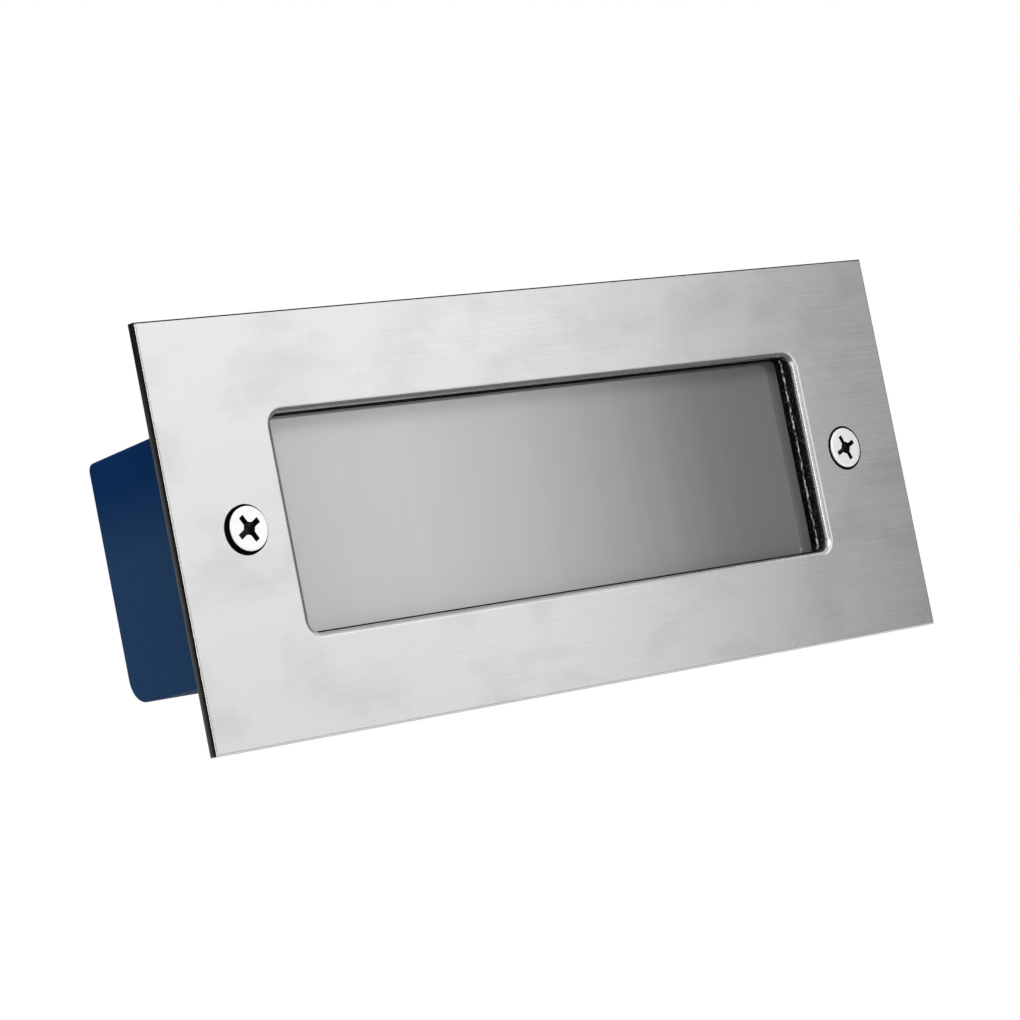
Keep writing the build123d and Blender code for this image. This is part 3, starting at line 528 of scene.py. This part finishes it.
def moulded(name, colour, roughness, texture=0.3, specular=0.5):
    """Plain moulded or cast plastic and rubber, slightly mottled, with a fine texture."""
    finish = Finish(name, colour, roughness, specular=specular)
    mottle = finish.grain(2 * mm, detail=3.0)
    darker = [channel * moulded_shade for channel in colour]
    finish.drive("Base Color", finish.blend(finish.between(mottle, 0, 1), darker, colour))
    spark = finish.grain(0.25 * mm, detail=2.0)
    smooth, rough = [roughness * share for share in moulded_roughness_spread]
    finish.drive("Roughness", finish.between(spark, smooth, rough))
    finish.bump(spark, strength=texture, depth=0.02 * mm)
    return finish.material


finishes = {
    "brushed_stainless": brushed_stainless(),
    "frosted_glass": frosted_glass(),
    "black_silicone": black_silicone(),
    "blue_moulding": blue_moulding(),
    "bright_nickel": plated("bright_nickel", (0.97, 0.97, 0.96), 0.22, metallic=0.3),
    "insert_brass": plated("insert_brass", (0.8, 0.58, 0.25), 0.28),
    "zinc_plate": plated("zinc_plate", (0.72, 0.74, 0.76), 0.28),
    "contact_copper": plated("contact_copper", (0.85, 0.5, 0.32), 0.3),
    "gasket_rubber": moulded("gasket_rubber", (0.001, 0.001, 0.001), 0.6, specular=0.02),
    "tray_enamel": moulded("tray_enamel", (0.82, 0.82, 0.8), 0.4, texture=0.15),
    "board_white": moulded("board_white", (0.78, 0.79, 0.77), 0.35, texture=0.05),
    "led_phosphor": moulded("led_phosphor", (0.85, 0.62, 0.12), 0.4, texture=0.1),
    "driver_white": moulded("driver_white", (0.74, 0.74, 0.71), 0.5),
    "board_green": moulded("board_green", (0.015, 0.12, 0.045), 0.35, texture=0.1),
    "winding_tape": moulded("winding_tape", (0.78, 0.6, 0.1), 0.3, texture=0.1),
    "capacitor_sleeve": moulded("capacitor_sleeve", (0.03, 0.035, 0.05), 0.3, texture=0.05),
    "terminal_grey": moulded("terminal_grey", (0.42, 0.43, 0.43), 0.45),
    "lever_orange": moulded("lever_orange", (0.85, 0.24, 0.02), 0.4),
    "lead_red": moulded("lead_red", (0.55, 0.02, 0.015), 0.4, texture=0.1),
    "lead_black": moulded("lead_black", (0.012, 0.012, 0.012), 0.4, texture=0.1),
    "gland_black": moulded("gland_black", (0.012, 0.012, 0.013), 0.5, texture=0.4, specular=0.3),
}
# painted highlight on the sealant's bead
sealant_highlight_paint = sealant_painted_highlight()
recess_shade = moulded("recess_shade", (0.006, 0.006, 0.006), 0.35, texture=0.1, specular=0.25)


def dress_nodes():
    """Gives every CAD node the finish of its slot."""
    for part in frame["record"]["subparts"]:
        mesh = nodes[part["node"]].data
        mesh.materials.clear()
        mesh.materials.append(finishes[part["material_slot"]])


# ---------------------------------------------------------------- modelling helpers
merge_distance = 0.001 * mm
thread_steps_per_turn = 40
thread_bury = 0.06 * mm
# a thread's ridge, as shares of its pitch
thread_crest_start = 0.42
thread_crest_end = 0.54
thread_foot_end = 0.96


def middle(node):
    """The centre of a CAD node's box."""
    low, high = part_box(node)
    return (low + high) / 2


def quarter_round(radius, steps):
    """A rounded edge, from its front to its side, as (distance in from the side, depth)."""
    angles = [quarter_turn * step / steps for step in range(steps + 1)]
    return [(radius * (1 - math.sin(angle)), radius * (1 - math.cos(angle))) for angle in angles]


def spin_round(bm, profile, centre, steps, closed=False):
    """Turns a profile of (radius, depth) points round an axis along Y, through a centre."""
    verts = [bm.verts.new((centre.x + radius, depth, centre.z)) for radius, depth in profile]
    edges = [bm.edges.new(pair) for pair in zip(verts, verts[1:])]
    if closed:
        edges.append(bm.edges.new((verts[-1], verts[0])))
    bmesh.ops.spin(
        bm,
        geom=verts + edges,
        cent=centre,
        axis=into_wall,
        angle=full_turn,
        steps=steps,
        use_merge=True,
    )


def cut_thread(bm, centre, root, crest, pitch, start, turns):
    """A helical ridge that climbs along Y on a round core."""
    section = (
        (root - thread_bury, start),
        (crest, start + thread_crest_start * pitch),
        (crest, start + thread_crest_end * pitch),
        (root - thread_bury, start + thread_foot_end * pitch),
    )
    verts = [bm.verts.new((centre.x + radius, depth, centre.z)) for radius, depth in section]
    edges = [bm.edges.new(pair) for pair in zip(verts, verts[1:] + verts[:1])]
    bmesh.ops.spin(
        bm,
        geom=verts + edges,
        cent=centre,
        axis=into_wall,
        dvec=into_wall * (pitch / thread_steps_per_turn),
        angle=full_turn * turns,
        steps=thread_steps_per_turn * turns,
    )
    open_edges = [edge for edge in bm.edges if edge.is_boundary]
    bmesh.ops.holes_fill(bm, edges=open_edges, sides=0)


def round_edges(bm, verts, radius, segments):
    """Bevels the edges that meet at some vertices."""
    edges = dict.fromkeys(edge for vert in verts for edge in vert.link_edges)
    return bmesh.ops.bevel(
        bm,
        geom=list(edges),
        offset=radius,
        segments=segments,
        affect="EDGES",
        profile=0.5,
        material=-1,
    )


def round_corners(bm, verts, radius, segments):
    """Bevels the corners of a flat outline."""
    bmesh.ops.bevel(
        bm,
        geom=verts,
        offset=radius,
        segments=segments,
        affect="VERTICES",
        profile=0.5,
        material=-1,
    )


def block(bm, size, edge_radius, segments):
    """A block with rounded edges round the origin, and its vertices."""
    made = bmesh.ops.create_cube(bm, size=1)
    bmesh.ops.scale(bm, vec=size, verts=made["verts"])
    return round_edges(bm, made["verts"], edge_radius, segments)["verts"]


def mesh_of(name, bm, materials, smooth_below=35):
    """Closes and tidies a bmesh and makes a Blender object of it."""
    bmesh.ops.remove_doubles(bm, verts=bm.verts, dist=merge_distance)
    bmesh.ops.recalc_face_normals(bm, faces=bm.faces)
    mesh = bpy.data.meshes.new(name)
    bm.to_mesh(mesh)
    bm.free()
    for material in materials:
        mesh.materials.append(material)
    mesh.shade_smooth()
    mesh.set_sharp_from_angle(angle=math.radians(smooth_below))
    piece = bpy.data.objects.new(name, mesh)
    scene.collection.objects.link(piece)
    return piece


def cut_away(piece, cutter, smooth_below=35):
    """Cuts one closed mesh out of another for good, and deletes the cutter."""
    boolean = piece.modifiers.new("cut", "BOOLEAN")
    boolean.operation = "DIFFERENCE"
    boolean.solver = "EXACT"
    boolean.object = cutter
    depsgraph = bpy.context.evaluated_depsgraph_get()
    mesh = bpy.data.meshes.new_from_object(piece.evaluated_get(depsgraph))
    piece.modifiers.clear()
    piece.data = mesh
    mesh.shade_smooth()
    mesh.set_sharp_from_angle(angle=math.radians(smooth_below))
    bpy.data.objects.remove(cutter)


def fit(piece, body, slot_name, *replaced):
    """Says which body a finished piece rides on, and which CAD nodes it stands for."""
    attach(piece, body)
    if replaced:
        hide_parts(*replaced)


# ---------------------------------------------------------------- face screws
screw_steps = 96
screw_smooth_below = 28
screw_shank_radius = 2.5 * mm
screw_thread_pitch = 0.8 * mm
screw_thread_depth = 0.42 * mm
screw_head_edge = 0.35 * mm
screw_rim_rounding = 0.14 * mm
screw_crown_drop = 0.01 * mm
screw_crown_share = 0.82
screw_neck_length = 0.8 * mm
screw_thread_set_back = 1.0 * mm
screw_full_root_set_back = 1.3 * mm
screw_point_length = 1.2 * mm
screw_point_taper = 0.7 * mm
recess_turns = {"left": math.radians(31), "right": math.radians(23)}
recess_widths = {"left": 1.45 * mm, "right": 1.2 * mm}
recess_span = 7.1 * mm
recess_waist = 1.1 * mm
recess_tip_rounding = 0.12 * mm
recess_depth = 1.6 * mm
recess_draft = 0.86
socket_steps = 48
socket_radius = 1.55 * mm
socket_depth = 2.3 * mm
socket_shoulder_radius_share = 0.6
socket_shoulder_depth_share = 0.8
socket_mouth_flare = 1.05
cutter_stick_out = 0.5 * mm


def cutter_of(name, bm):
    """A tool for the recess, which leaves dark walls behind."""
    for face in bm.faces:
        face.material_index = 1
    return mesh_of(name, bm, (finishes["bright_nickel"], recess_shade))


def cross_cutter(centre, front, width, turn_angle):
    """A tapering cross with hollow waists and square arm ends."""
    arm, half = recess_span / 2, width / 2
    corners = []
    for quarter in range(4):
        turn = Matrix.Rotation(-quarter * quarter_turn, 2)
        corners.extend(turn @ Vector(point) for point in ((half, half), (arm, half), (arm, -half)))
    bm = bmesh.new()
    verts = [bm.verts.new((x, 0, z)) for x, z in corners]
    bm.faces.new(verts)
    waists = [vert for vert in verts if vert.co.length < width]
    round_corners(bm, waists, recess_waist, segments=5)
    tips = [vert for vert in bm.verts if vert.co.length > arm]
    round_corners(bm, tips, recess_tip_rounding, segments=2)
    deep = bmesh.ops.extrude_face_region(bm, geom=list(bm.faces), use_keep_orig=True)
    deep_verts = [part for part in deep["geom"] if isinstance(part, bmesh.types.BMVert)]
    bmesh.ops.translate(bm, vec=(0, recess_depth + cutter_stick_out, 0), verts=deep_verts)
    bmesh.ops.scale(bm, vec=(recess_draft, 1, recess_draft), verts=deep_verts)
    place = Matrix.Translation((centre.x, front - cutter_stick_out, centre.z))
    turned = Matrix.Rotation(-turn_angle, 4, "Y")
    bmesh.ops.transform(bm, matrix=place @ turned, verts=bm.verts)
    return cutter_of("cross_cutter", bm)


def socket_cutter(centre, front):
    """The conical well in the middle of the cross."""
    shoulder_radius = socket_radius * socket_shoulder_radius_share
    shoulder_depth = socket_depth * socket_shoulder_depth_share
    profile = (
        (0, front - cutter_stick_out),
        (socket_radius * socket_mouth_flare, front - cutter_stick_out),
        (socket_radius, front),
        (shoulder_radius, front + shoulder_depth),
        (0, front + socket_depth),
    )
    bm = bmesh.new()
    spin_round(bm, profile, centre, socket_steps)
    return cutter_of("socket_cutter", bm)


def add_face_screw(side):
    """A countersunk cross-recess screw with a rounded rim and a rolled thread."""
    node = f"{side}_face_screw"
    centre = middle(node)
    low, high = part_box(node)
    front, tip = low.y, high.y
    head = high.x - centre.x
    root = screw_shank_radius - screw_thread_depth
    cone_back = front + screw_head_edge + head - screw_shank_radius
    rim = [(head - inset, front + depth) for inset, depth in quarter_round(screw_rim_rounding, 3)]
    profile = (
        (0, front),
        (head * screw_crown_share, front + screw_crown_drop),
        *rim,
        (head, front + screw_head_edge),
        (screw_shank_radius, cone_back),
        (screw_shank_radius, cone_back + screw_neck_length),
        (root, cone_back + screw_full_root_set_back),
        (root, tip - screw_point_length),
        (root - screw_point_taper, tip),
        (0, tip),
    )
    bm = bmesh.new()
    spin_round(bm, profile, centre, screw_steps)
    materials = (finishes["bright_nickel"], recess_shade)
    screw = mesh_of(f"{side}_cross_screw", bm, materials, screw_smooth_below)
    cross = cross_cutter(centre, front, recess_widths[side], recess_turns[side])
    cut_away(screw, cross, screw_smooth_below)
    cut_away(screw, socket_cutter(centre, front), screw_smooth_below)
    bm = bmesh.new()
    bm.from_mesh(screw.data)
    thread_front = cone_back + screw_thread_set_back
    pitch = screw_thread_pitch
    turns = math.floor((tip - screw_point_length - thread_front) / pitch) - 1
    cut_thread(bm, centre, root, screw_shank_radius, pitch, thread_front, turns)
    bm.to_mesh(screw.data)
    bm.free()
    screw.data.set_sharp_from_angle(angle=math.radians(screw_smooth_below))
    fit(screw, f"{side}_screw", "bright_nickel", node)


# ---------------------------------------------------------------- screw seals
seal_steps = 72
seal_smooth_below = 50
seal_lip_height = {"left": 0.22 * mm, "right": 0.06 * mm}
seal_lip_reach = {"left": 0.6 * mm, "right": 0.22 * mm}
seal_lip_heading = math.radians(200)
seal_clearance = 0.05 * mm
seal_back_clearance = 0.02 * mm
seal_outer_tolerance = 0.01 * mm
# the lip's shape, as shares of the rubber's thickness with shares of the lip's height, and as
# distances past the rubber's outer side with shares of the lip's height
seal_lip_within = ((0, 0), (0.3, 0.8), (0.7, 1))
seal_lip_past = ((0.1 * mm, 0.7), (0.15 * mm, 0))


def add_screw_seal(side):
    """The rubber cone under a screw's head, squeezed out on one side where the head stands up."""
    node = f"{side}_screw_seal"
    centre = middle(node)
    low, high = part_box(node)
    outer = high.x - centre.x
    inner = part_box(f"{side}_face_screw")[1].x - centre.x + seal_clearance
    depth = high.y - low.y
    shank = screw_shank_radius + seal_clearance
    lip = seal_lip_height[side]
    profile = (
        *[(inner + share * (outer - inner), low.y - up * lip) for share, up in seal_lip_within],
        *[(outer + past, low.y - up * lip) for past, up in seal_lip_past],
        (outer, low.y),
        (outer - depth + seal_back_clearance, high.y),
        (shank, high.y),
    )
    bm = bmesh.new()
    spin_round(bm, profile, centre, seal_steps, closed=True)
    heading = Vector((math.cos(seal_lip_heading), 0, math.sin(seal_lip_heading)))
    for vert in bm.verts:
        out = vert.co - centre
        out.y = 0
        if out.length > outer - seal_outer_tolerance:
            share = max(0, out.normalized().dot(heading))
            vert.co += out.normalized() * seal_lip_reach[side] * share
    materials = (finishes["gasket_rubber"],)
    seal = mesh_of(f"{side}_rubber_seal", bm, materials, seal_smooth_below)
    fit(seal, f"{side}_seal", "gasket_rubber", node)


# ---------------------------------------------------------------- window sealant
sealant_inner_corner = 1.5 * mm
sealant_outer_corner = 4.0 * mm
sealant_corner_steps = 8
sealant_smooth_below = 50
sealant_edge_rounding = 0.4 * mm
sealant_wall_set_back = 0.12 * mm
bead_from_front = 1.25 * mm
bead_half_width = 0.32 * mm
bead_height = 0.3 * mm
bead_foot = 1.6 * bead_half_width
bead_steps = 6


def rounded_loop(bm, half_width, half_height, radius, depth):
    """One closed loop of edges: a rounded rectangle in a plane that faces the room."""
    verts = []
    for corner in range(4):
        side_x = (1, -1, -1, 1)[corner]
        side_z = (1, 1, -1, -1)[corner]
        for step in range(sealant_corner_steps + 1):
            angle = quarter_turn * (corner + step / sealant_corner_steps)
            x = side_x * (half_width - radius) + radius * math.cos(angle)
            z = side_z * (half_height - radius) + radius * math.sin(angle)
            verts.append(bm.verts.new((x, depth, z)))
    return [bm.edges.new(pair) for pair in zip(verts, verts[1:] + verts[:1])]


def sealant_wall(front, back):
    """The wall that shows in the window, as (distance out from the window's edge, depth)."""
    bead = front + bead_from_front
    wall = [(out, front + depth) for out, depth in quarter_round(sealant_edge_rounding, 4)]
    wall.append((sealant_wall_set_back, bead - bead_foot))
    for step in range(bead_steps + 1):
        angle = math.pi * step / bead_steps
        out = sealant_wall_set_back - bead_height * math.sin(angle)
        wall.append((out, bead - bead_half_width * math.cos(angle)))
    wall.append((sealant_wall_set_back, bead + bead_foot))
    wall.append((sealant_wall_set_back, back))
    return wall


def add_window_sealant():
    """The black sealant round the glass, with a rounded front edge and a bead on its wall."""
    node = "glass_seal"
    low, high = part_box(node)
    front, back = low.y, high.y
    straight_x = min(abs(vert.co.x) for vert in nodes[node].data.vertices)
    straight_z = min(abs(vert.co.z) for vert in nodes[node].data.vertices)
    bm = bmesh.new()
    loops = [rounded_loop(bm, high.x, high.z, sealant_outer_corner, front)]
    for out, depth in sealant_wall(front, back):
        corner = sealant_inner_corner + out
        loops.append(rounded_loop(bm, straight_x + corner, straight_z + corner, corner, depth))
    loops.append(rounded_loop(bm, high.x, high.z, sealant_outer_corner, back))
    for first, second in zip(loops, loops[1:] + loops[:1]):
        bmesh.ops.bridge_loops(bm, edges=first + second)
    for face in bm.faces:
        place = face.calc_center_median()
        on_bead = abs(place.y - front - bead_from_front) < bead_half_width
        at_end = abs(place.x) > straight_x + sealant_inner_corner / 2
        face.material_index = 1 if on_bead and at_end else 0
    materials = (finishes["black_silicone"], sealant_highlight_paint)
    sealant = mesh_of("window_sealant", bm, materials, sealant_smooth_below)
    fit(sealant, "plate", "black_silicone", node)


# ---------------------------------------------------------------- cable gland
gland_steps = 96
gland_smooth_below = 30
hexagon_sides = 6
gland_thread_pitch = 1.5 * mm
gland_thread_depth = 0.75 * mm
gland_inner_thread_radius = 8.0 * mm
gland_outer_thread_radius = 7.5 * mm
gland_bore_radius = 4.6 * mm
gland_throat_radius = 6.35 * mm
gland_throat_edge = 0.1 * mm
gland_inner_edge = 0.5 * mm
gland_outer_edge_length = 0.5 * mm
gland_outer_edge = 0.3 * mm
gland_seal_clearance = 0.02 * mm
gland_core_step = (0.6 * mm, 1.2 * mm)
flange_flats = 19.0 * mm
flange_edge = 0.5 * mm
flange_to_cap = 0.4 * mm
flange_bury = 0.2 * mm
inner_thread_set_back = 0.4 * mm
outer_thread_set_back = 0.5 * mm
cap_steps = 120
cap_barrel_radius = 9.5 * mm
cap_thread_bore = 7.55 * mm
cap_seal_bore = 6.32 * mm
cap_mouth_radius = 4.8 * mm
cap_mouth_edge = 0.35 * mm
cap_crown = 2.8 * mm
cap_barrel_inset = 0.2 * mm
cap_hexagon_length = 8.0 * mm
cap_hexagon_edge = 0.45 * mm
cap_hexagon_bury = 0.6 * mm
cap_rib_count = 30
cap_rib_width = 0.8 * mm
cap_rib_height = 0.5 * mm
cap_rib_bury = 0.12 * mm
cap_rib_edge = 0.15 * mm


def add_bored_hexagon(bm, centre, flats, front, back, edge, bore):
    """Joins a hexagon with rounded edges and a round bore to a piece in the making."""
    length = back - front
    corner_radius = flats / 2 / math.cos(math.pi / hexagon_sides)
    hexagon = bmesh.new()
    made = bmesh.ops.create_cone(
        hexagon,
        cap_ends=True,
        segments=hexagon_sides,
        radius1=corner_radius,
        radius2=corner_radius,
        depth=length,
    )
    place = Matrix.Translation((centre.x, front + length / 2, centre.z))
    tilt = Matrix.Rotation(quarter_turn, 4, "X")
    bmesh.ops.transform(hexagon, matrix=place @ tilt, verts=made["verts"])
    round_edges(hexagon, made["verts"], edge, segments=3)
    hexagon_piece = mesh_of("hexagon", hexagon, (finishes["gland_black"],))
    drill = bmesh.new()
    profile = ((0, front - mm), (bore, front - mm), (bore, back + mm), (0, back + mm))
    spin_round(drill, profile, centre, gland_steps)
    cut_away(hexagon_piece, mesh_of("drill", drill, (finishes["gland_black"],)))
    bm.from_mesh(hexagon_piece.data)
    bpy.data.objects.remove(hexagon_piece)


def add_gland_body():
    """The gland's body: inner and outer threads with a hexagonal flange between them."""
    node = "gland_body"
    centre = middle(node)
    low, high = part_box(node)
    flange_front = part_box("gland_washer")[1].y
    flange_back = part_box("gland_cap")[0].y - flange_to_cap
    throat_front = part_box("gland_seal")[0].y - gland_seal_clearance
    inner_root = gland_inner_thread_radius - gland_thread_depth
    outer_root = gland_outer_thread_radius - gland_thread_depth
    profile = (
        (gland_bore_radius, low.y),
        (inner_root - gland_inner_edge, low.y),
        (inner_root, low.y + gland_inner_edge),
        *[(inner_root, flange_front + depth) for depth in gland_core_step],
        (outer_root, flange_front + gland_core_step[-1]),
        (outer_root, high.y - gland_outer_edge_length),
        (outer_root - gland_outer_edge, high.y),
        (gland_throat_radius + gland_throat_edge, high.y),
        (gland_throat_radius, high.y - gland_throat_edge),
        (gland_throat_radius, throat_front),
        (gland_bore_radius, throat_front),
    )
    bm = bmesh.new()
    spin_round(bm, profile, centre, gland_steps, closed=True)
    pitch = gland_thread_pitch
    inner_turns = math.floor((flange_front - low.y) / pitch) - 1
    inner_start = low.y + inner_thread_set_back
    cut_thread(bm, centre, inner_root, gland_inner_thread_radius, pitch, inner_start, inner_turns)
    outer_turns = math.floor((high.y - flange_back) / pitch) - 1
    outer_start = flange_back + outer_thread_set_back
    cut_thread(bm, centre, outer_root, gland_outer_thread_radius, pitch, outer_start, outer_turns)
    bore = outer_root - flange_bury
    add_bored_hexagon(bm, centre, flange_flats, flange_front, flange_back, flange_edge, bore)
    materials = (finishes["gland_black"],)
    body = mesh_of("gland_threaded_body", bm, materials, gland_smooth_below)
    fit(body, "box", "gland_black", node)


def add_cap_ribs(bm, centre, front, back):
    """Ribs round the cap's crown, for the fingers."""
    length = back - front
    place = Matrix.Translation((centre.x, front + length / 2, centre.z))
    out = Matrix.Translation((cap_barrel_radius - cap_rib_bury, 0, 0))
    for rib in range(cap_rib_count):
        verts = block(bm, (cap_rib_height, length, cap_rib_width), cap_rib_edge, segments=1)
        turn = Matrix.Rotation(full_turn * rib / cap_rib_count, 4, "Y")
        bmesh.ops.transform(bm, matrix=place @ turn @ out, verts=verts)


def add_gland_cap():
    """The gland's cap: a hexagon for the spanner, and a ribbed crown round the cable's mouth."""
    node = "gland_cap"
    centre = middle(node)
    low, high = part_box(node)
    hexagon_back = low.y + cap_hexagon_length
    body_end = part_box("gland_body")[1].y
    seal_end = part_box("gland_seal")[1].y
    barrel = cap_barrel_radius - cap_barrel_inset
    crown = [
        (cap_barrel_radius - inset, high.y - depth)
        for depth, inset in quarter_round(cap_crown, 6)
    ]
    profile = (
        (cap_thread_bore, low.y),
        (barrel - cap_barrel_inset, low.y),
        (barrel, low.y + cap_barrel_inset),
        (barrel, hexagon_back),
        *crown,
        (cap_mouth_radius + cap_mouth_edge, high.y),
        (cap_mouth_radius, high.y - cap_mouth_edge),
        (cap_mouth_radius, seal_end),
        (cap_seal_bore, seal_end),
        (cap_seal_bore, body_end),
        (cap_thread_bore, body_end),
    )
    bm = bmesh.new()
    spin_round(bm, profile, centre, cap_steps, closed=True)
    flats, bore = 2 * cap_barrel_radius, cap_barrel_radius - cap_hexagon_bury
    add_bored_hexagon(bm, centre, flats, low.y, hexagon_back, cap_hexagon_edge, bore)
    add_cap_ribs(bm, centre, hexagon_back, high.y - cap_crown)
    cap = mesh_of("gland_ribbed_cap", bm, (finishes["gland_black"],), gland_smooth_below)
    fit(cap, "cap", "gland_black", node)


# ---------------------------------------------------------------- light board
led_count = 12
led_frame_size = 3.0 * mm
led_frame_height = 0.68 * mm
led_frame_rounding = 0.18 * mm
led_well_radius = 1.15 * mm
led_well_depth = 0.2 * mm
led_dome_steps = 24
# the dome's shape: shares of the well's radius, each with its depth behind the dome's top
led_dome = ((0, 0), (0.55, 0.03 * mm), (0.85, 0.08 * mm))
led_dome_foot = 0.01 * mm
phosphor_reach = 0.15 * mm
frame_front_tolerance = 0.005 * mm
# a face squarely towards the room has a normal whose Y is below this
squarely_forward = -0.9
board_smooth_below = 30
track_height = 0.05 * mm
track_width = 3.6 * mm
track_to_middle = 2.1 * mm
track_rounding = 0.02 * mm
track_gap = 0.6 * mm
pad_inset = 2.5 * mm
pad_to_middle = 3.5 * mm
pad_reach = 2.0 * mm
solder_steps = 32
# the solder's section: radius and height above the board
solder_section = (
    (0.75 * mm, 0.9 * mm),
    (1.0 * mm, 0.55 * mm),
    (1.45 * mm, 0.2 * mm),
    (1.9 * mm, 0),
    (0.75 * mm, 0),
)


def led_centres():
    """The middle of each light on the board, evenly between the ends of their CAD node."""
    low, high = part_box("leds")
    first = low.x + led_frame_size / 2
    last = high.x - led_frame_size / 2
    return [first + (last - first) * step / (led_count - 1) for step in range(led_count)]


def add_leds():
    """Twelve surface-mounted lights: white frames with domed yellow phosphor."""
    low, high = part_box("leds")
    front = high.y - led_frame_height
    centres = led_centres()
    frame_size = (led_frame_size, led_frame_height, led_frame_size)
    dome = (
        *[(share * led_well_radius, low.y + depth) for share, depth in led_dome],
        (led_well_radius, front + led_dome_foot),
        (led_well_radius, front + led_well_depth),
        (0, front + led_well_depth),
    )
    bm = bmesh.new()
    for x in centres:
        verts = block(bm, frame_size, led_frame_rounding, segments=2)
        bmesh.ops.translate(bm, vec=(x, high.y - led_frame_height / 2, 0), verts=verts)
        spin_round(bm, dome, Vector((x, 0, 0)), led_dome_steps)
    for face in bm.faces:
        place = face.calc_center_median()
        off_axis = min(math.hypot(place.x - x, place.z) for x in centres)
        in_dome = off_axis < led_well_radius and place.y < front + phosphor_reach
        flat_in_front = abs(place.y - front) < frame_front_tolerance
        on_frame = flat_in_front and face.normal.y < squarely_forward
        face.material_index = 1 if in_dome and not on_frame else 0
    materials = (finishes["board_white"], finishes["led_phosphor"])
    lights = mesh_of("led_packages", bm, materials, board_smooth_below)
    fit(lights, "box", "led_phosphor", "leds")


def add_board_tracks():
    """Raised copper under the board's white lacquer, and two soldered pads."""
    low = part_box("led_board")[0]
    front = low.y
    centres = led_centres()
    bm = bmesh.new()
    for first, second in zip(centres, centres[1:]):
        width = second - first - led_frame_size - track_gap
        for level in (-1, 1):
            size = (width, track_height, track_width)
            verts = block(bm, size, track_rounding, segments=2)
            place = ((first + second) / 2, front - track_height / 2, level * track_to_middle)
            bmesh.ops.translate(bm, vec=place, verts=verts)
    pad_x = low.x + pad_inset
    solder = [(radius, front - height) for radius, height in solder_section]
    for level in (-1, 1):
        centre = Vector((pad_x, 0, level * pad_to_middle))
        spin_round(bm, solder, centre, solder_steps, closed=True)
    for face in bm.faces:
        on_pad = abs(face.calc_center_median().x - pad_x) < pad_reach
        face.material_index = 1 if on_pad else 0
    materials = (finishes["board_white"], finishes["zinc_plate"])
    tracks = mesh_of("board_tracks", bm, materials, board_smooth_below)
    fit(tracks, "box", "board_white")


# ---------------------------------------------------------------- the whole light
scene.view_settings.view_transform = "Standard"
add_camera()
white_world()
add_panel("floor", floor_centre, floor_size, (0, 0, 1), floor_paint())
for card_name, card in cards.items():
    add_card(card_name, **card)
for lamp_name, lamp in lamps.items():
    add_lamp(lamp_name, **lamp)
dress_nodes()
for screw_side in ("left", "right"):
    add_face_screw(screw_side)
    add_screw_seal(screw_side)
add_window_sealant()
add_gland_body()
add_gland_cap()
add_leds()
add_board_tracks()
